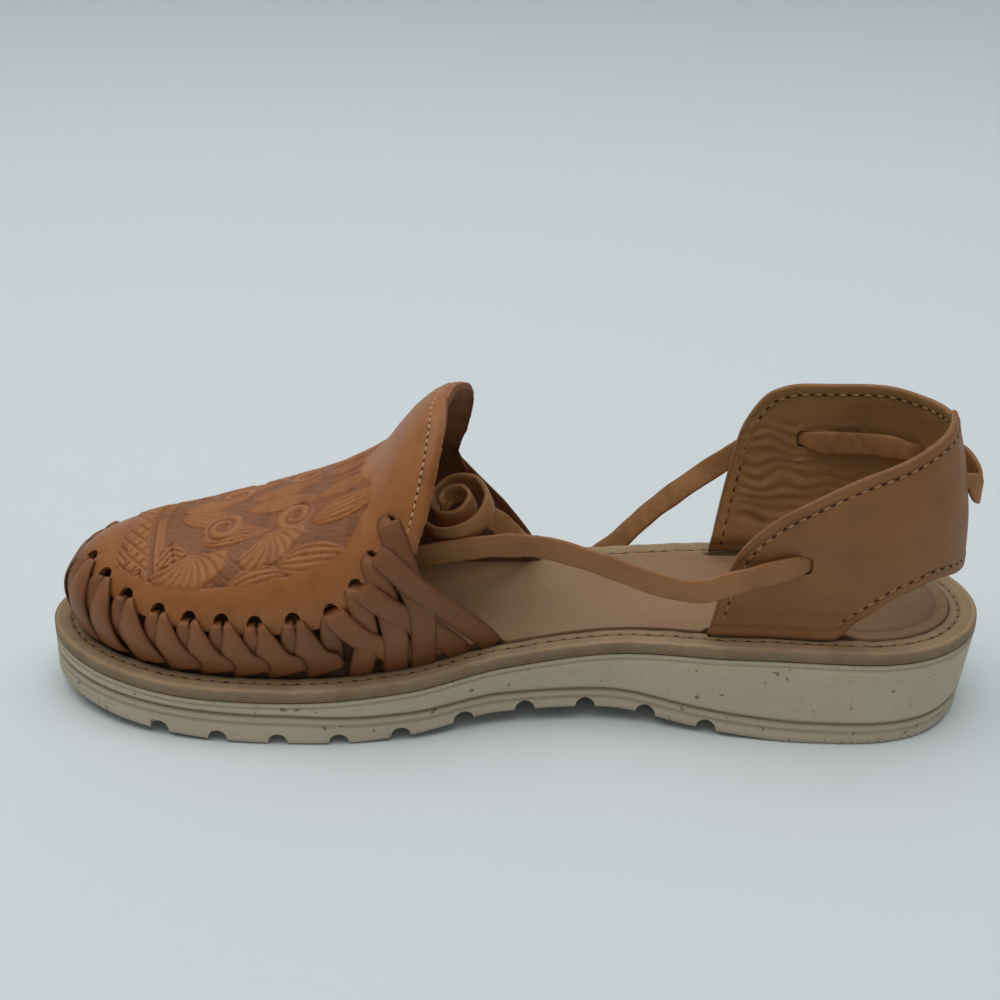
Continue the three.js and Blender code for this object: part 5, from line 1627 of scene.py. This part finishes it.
@dataclass
class Lace:
    """Flat leather thong through the strap's slots, with both ends rolled away in the throat."""

    width: float = 6.5
    thickness: float = 1.5
    outside: float = -1.6
    inside: float = 3.5
    squeeze: float = 0.33
    squeeze_reach: float = 4.0

    NEAR = (
        (31.0, 12.5, 41.0), (24.0, 13.5, 43.0), (16.0, 13.2, 44.8), (11.0, 12.8, 45.6), (2.2, 12.5, 46.7),
        (-8.7, 15.0, 47.9), (-19.4, 19.0, 47.3), (-29.9, 23.0, 45.6), (-40.4, 26.0, 43.4), (-50.6, 28.6, 43.2),
        (-59.4, 29.4, 46.4),
    )
    FAR = (
        (-60.7, -33.0, 54.5), (-52.0, -35.0, 47.0), (-41.0, -37.5, 36.5), (-34.0, -39.3, 28.5), (-28.3, -40.8, 21.5),
        (-21.0, -41.5, 16.0), (-14.5, -41.8, 14.5), (-9.5, -41.5, 16.5), (-6.0, -38.0, 21.5), (-4.0, -30.0, 25.5),
        (-2.5, -20.0, 31.2), (0.0, -12.5, 37.4), (4.0, -8.5, 43.5), (9.5, -6.5, 47.5),
    )
    BACK = ((0.035, 0.655, -1.5), (0.010, 0.605, -2.6), (-0.020, 0.580, -3.4), (-0.060, 0.600, -3.8),
            (-0.105, 0.645, -3.8), (-0.170, 0.680, -3.4), (-0.250, 0.680, -2.6), (-0.330, 0.655, -1.7))
    COIL_MIDDLE = (14.3, 3.0, 53.4)
    COIL_AXIS = (0.26, 0.42, 0.88)
    COIL = ((10.6, 32.0), (10.2, 65.0), (9.9, 100.0), (9.6, 140.0), (9.2, 180.0), (8.8, 230.0), (8.2, 280.0),
            (7.2, 330.0), (6.0, 380.0), (5.2, 430.0), (4.8, 480.0), (4.5, 540.0), (4.3, 600.0), (4.1, 660.0),
            (3.9, 715.0), (3.4, 760.0))

    def coil(self) -> tuple[Array, Array]:
        """Rolled end: a spiral round a tilted axis, led in from the toe side.

        Returns:
            Its points, and the axis at each of them.
        """
        axis = unit(np.array(self.COIL_AXIS))
        ahead = unit(np.array([1.0, 0.0, 0.0]) - axis * axis[0])
        beside = np.cross(axis, ahead)
        radius, angle = np.array(self.COIL).T
        angle = np.radians(angle)
        turn = ahead * np.cos(angle)[:, None] + beside * np.sin(angle)[:, None]
        climb = axis * np.linspace(0, 1.4, len(radius))[:, None]
        points = np.array(self.COIL_MIDDLE) + turn * radius[:, None] + climb
        lead = points[0] + np.array([[9.0, -1.5, -3.4], [4.5, -0.2, -1.8]])
        return np.vstack([lead, points]), np.tile(axis, (len(points) + 2, 1))

    def beside(self, start: int, end: int, depth: float, trim: float) -> list[Array]:
        """Points along the strap between two slots, at a depth from the outer face.

        Args:
            start: number of the first slot.
            end: number of the second slot.
            depth: depth from the strap's outer face.
            trim: share of the way left free at both ends.

        Returns:
            The points.
        """
        (a, first), (b, second) = HeelStrap.SLOTS[start], HeelStrap.SLOTS[end]
        return [LAST.strap_place(a + (b - a) * t, first + (second - first) * t, depth)
                for t in np.linspace(trim, 1 - trim, 6)]

    def through(self, slot: int) -> Array:
        """Point in the middle of the wall at a slot."""
        return LAST.strap_place(*HeelStrap.SLOTS[slot], HeelStrap.wall / 2)

    def route(self) -> Array:
        """Long part of the lace: near run, inside, outside at the back, inside, far run."""
        near_way, near_share = HeelStrap.SLOTS[0]
        far_way, far_share = HeelStrap.SLOTS[1]
        points = [np.array(p) for p in self.NEAR]
        points += [LAST.strap_place(near_way + 0.09, near_share - 0.036, self.outside - 0.7),
                   LAST.strap_place(near_way + 0.03, near_share, self.outside)]
        points += [self.through(0), *self.beside(0, 2, self.inside, 0.06), self.through(2)]
        points += [*(LAST.strap_place(*spot) for spot in self.BACK), self.through(3)]
        points += [*self.beside(3, 1, self.inside, 0.10), self.through(1)]
        points += [LAST.strap_place(far_way - 0.03, far_share, self.outside),
                   LAST.strap_place(far_way - 0.09, far_share - 0.03, self.outside - 0.4)]
        points += [np.array(p) for p in self.FAR]
        return np.array(points)

    def narrowing(self, line: Array) -> Array:
        """Share of the width along the lace: drawn in where it passes a slot."""
        slots = np.array([self.through(k) for k in range(len(HeelStrap.SLOTS))])
        gap = np.linalg.norm(line[:, None] - slots[None], axis=2).min(1)
        return 1 - self.squeeze * bell(gap, self.squeeze_reach)

    def thong(self, name: str, points: Array, broad: Array, pitch: float) -> tuple[bpy.types.Object, Array]:
        """Rounded flat section carried along the route, its broad side along the given directions.

        Args:
            name: the piece's name.
            points: control points of the route.
            broad: direction of the broad side at each of them.
            pitch: distance between sections.

        Returns:
            The piece and the points that it follows.
        """
        line = even(spline(np.hstack([points, broad]), 1200), pitch)
        middle, wide = line[:, :3], line[:, 3:]
        along = unit(np.gradient(middle, axis=0))
        wide = unit(wide - along * np.sum(wide * along, 1, keepdims=True))
        flat = np.cross(along, wide)
        broad, tall = rounded(16, 0.3, 0.55)
        a, b = broad * self.width / 2, tall * self.thickness / 2
        length = np.arange(len(middle))[:, None] * pitch
        uneven = self.narrowing(middle)[:, None] * (1 + 0.05 * ripple(length / 9, 0 * a, 41))
        points = middle[:, None] + wide[:, None] * (a * uneven)[..., None] + flat[:, None] * b[..., None]
        rim = smooth(0.8, 1.0, np.abs(a) / (self.width / 2)) + 0 * uneven
        shell = Shell()
        tone = 0.15 * smooth(0, 1, ripple(length / 30, a / 6, 43))
        rough = smooth(-0.1, -0.5, b / (self.thickness / 2))
        nap = ripple(length / 4.0, a / 3.0, 47, 11)
        shell.tube(points, dark=np.clip(0.22 * rim + tone + 0.25 * rough * smooth(0.0, -0.8, nap), 0, 1),
                   light=np.clip(0.15 * (1 - rim) + rough * (0.35 + 0.35 * smooth(0.0, 0.8, nap)), 0, 1))
        return outward(shell.build(name, PALETTE.several("lace"), sharp=60)), middle

    def build(self) -> list[bpy.types.Object]:
        """Makes the long part and the rolled loop."""
        long_points = self.route()
        lean = np.interp(long_points[:, 0], [-60, -48, -30, -20], [0.0, 0.55, 0.45, 0.0])
        lean = lean * smooth(-25, -30, long_points[:, 1])
        upright = np.stack([np.zeros(len(lean)), -lean, np.ones(len(lean))], 1)
        long, long_line = self.thong("lace_long", long_points, unit(upright), 1.2)
        loop, loop_line = self.thong("lace_rolled", *self.coil(), 0.8)
        dress(long, "lace_near_run", "lace", "lace_inner_bar", "lace_back_bar", "lace_outer_bar", "lace_far_run")
        dress(loop, "lace_loop", "lace")
        for piece, line in ((long, long_line), (loop, loop_line)):
            path = place(line)
            tuple(path[0])
        return [long, loop]


def dress(piece: bpy.types.Object, node: str, slot: str | None = None, *more: str) -> None:
    """Makes a piece ride on the sandal and stand for its solids.

    Args:
        piece: the piece.
        node: the solid that it belongs to.
        slot: not used.
        more: other solids that it stands for.
    """
    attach(piece, "root")
    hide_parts(node, *more)


# Room, light and camera


@dataclass
class Studio:
    """Pale floor and backdrop, one soft light and the photograph's camera."""

    elevation: float = 25.0
    azimuth: float = 183.79
    distance: float = 480.0
    focal: float = 1766.7
    target: tuple[float, float, float] = (2.96, 0.0, 54.33)
    frame_width: float = 1000.0
    paper: tuple[int, int, int] = (222, 231, 235)
    wall_y: float = 0.62
    wall_top: float = 2.2
    bend: float = 0.10
    floor_half: float = 2.2
    floor_near: float = 1.6
    air: float = 0.27
    air_tint: tuple[int, int, int] = (226, 232, 238)
    ceiling: tuple[float, float, float] = (0.12, -0.10, 1.35)
    ceiling_side: float = 1.9
    ceiling_power: float = 19.0
    ceiling_tint: tuple[int, int, int] = (255, 251, 246)

    def camera(self) -> None:
        """Places the camera at its distance from the target along azimuth and elevation."""
        a, e = math.radians(self.azimuth), math.radians(self.elevation)
        back = np.array([math.sin(a) * math.cos(e), -math.cos(a) * math.cos(e), math.sin(e)])
        eye = place(np.array(self.target) + back * self.distance)[0]
        data = bpy.data.cameras.new("camera")
        data.sensor_width = 36.0
        data.lens = self.focal / self.frame_width * data.sensor_width
        data.clip_start = 0.01
        data.clip_end = 20
        camera = bpy.data.objects.new("camera", data)
        bpy.context.scene.collection.objects.link(camera)
        camera.matrix_world = Matrix.Translation(eye) @ Vector(back).to_track_quat("Z", "Y").to_matrix().to_4x4()
        bpy.context.scene.camera = camera

    def room(self) -> None:
        """Floor and a wall beyond it, in two pale tones that meet in a soft bend."""
        material = bpy.data.materials.new("paper")
        material.use_nodes = True
        shader = material.node_tree.nodes["Principled BSDF"]
        shader.inputs["Base Color"].default_value = linear(self.paper)
        shader.inputs["Roughness"].default_value = 0.9
        angle = np.linspace(0, np.pi / 2, 14)[1:]
        far, radius = self.wall_y, self.bend
        y = np.concatenate([[self.floor_near, -far + radius], -far + radius - radius * np.sin(angle), [-far]])
        z = np.concatenate([[0, 0], radius - radius * np.cos(angle), [self.wall_top]])
        x = np.array([-self.floor_half, self.floor_half])
        points = np.stack([np.broadcast_to(x, (len(y), 2)), np.broadcast_to(y[:, None], (len(y), 2)),
                           np.broadcast_to(z[:, None], (len(y), 2))], -1)
        mesh = bpy.data.meshes.new("floor")
        mesh.from_pydata(points.reshape(-1, 3).tolist(), [], grid_faces(len(y), 2)[:, ::-1].tolist())
        mesh.polygons.foreach_set("use_smooth", np.ones(len(mesh.polygons), bool))
        mesh.materials.append(material)
        floor = bpy.data.objects.new("floor", mesh)
        bpy.context.scene.collection.objects.link(floor)
        world = bpy.data.worlds.new("air")
        world.use_nodes = True
        background = world.node_tree.nodes["Background"]
        background.inputs["Color"].default_value = linear(self.air_tint)
        background.inputs["Strength"].default_value = self.air
        bpy.context.scene.world = world
        bpy.context.scene.view_settings.view_transform = "Standard"

    def light(self, name: str, eye: tuple[float, float, float], size: float, power: float, tint: tuple) -> None:
        """Adds a square light that looks at the sandal.

        Args:
            name: its name.
            eye: its place in metres.
            size: its side in metres.
            power: watts.
            tint: 8-bit colour.
        """
        data = bpy.data.lights.new(name, "AREA")
        data.size = size
        data.energy = power
        data.color = linear(tint)[:3]
        lamp = bpy.data.objects.new(name, data)
        lamp.location = eye
        lamp.rotation_euler = (Vector((0, 0, 0.03)) - Vector(eye)).to_track_quat("-Z", "Y").to_euler()
        bpy.context.scene.collection.objects.link(lamp)

    def build(self) -> None:
        """Camera first, then floor, air and light."""
        self.camera()
        self.room()
        self.light("ceiling", self.ceiling, self.ceiling_side, self.ceiling_power, self.ceiling_tint)


PALETTE = Palette()


def main() -> None:
    """Builds the sandal in order and notes each piece."""
    logging.basicConfig(level=logging.INFO, format="%(name)s: %(message)s")
    Studio().build()
    for part in (Lace(), Outsole(), Welt(), Insole(), Vamp(), Weave(), HeelStrap()):
        for piece in part.build():
            log.info("%s: %s with %d faces", type(part).__name__, piece.name, len(piece.data.polygons))


if __name__ == "__main__":
    main()
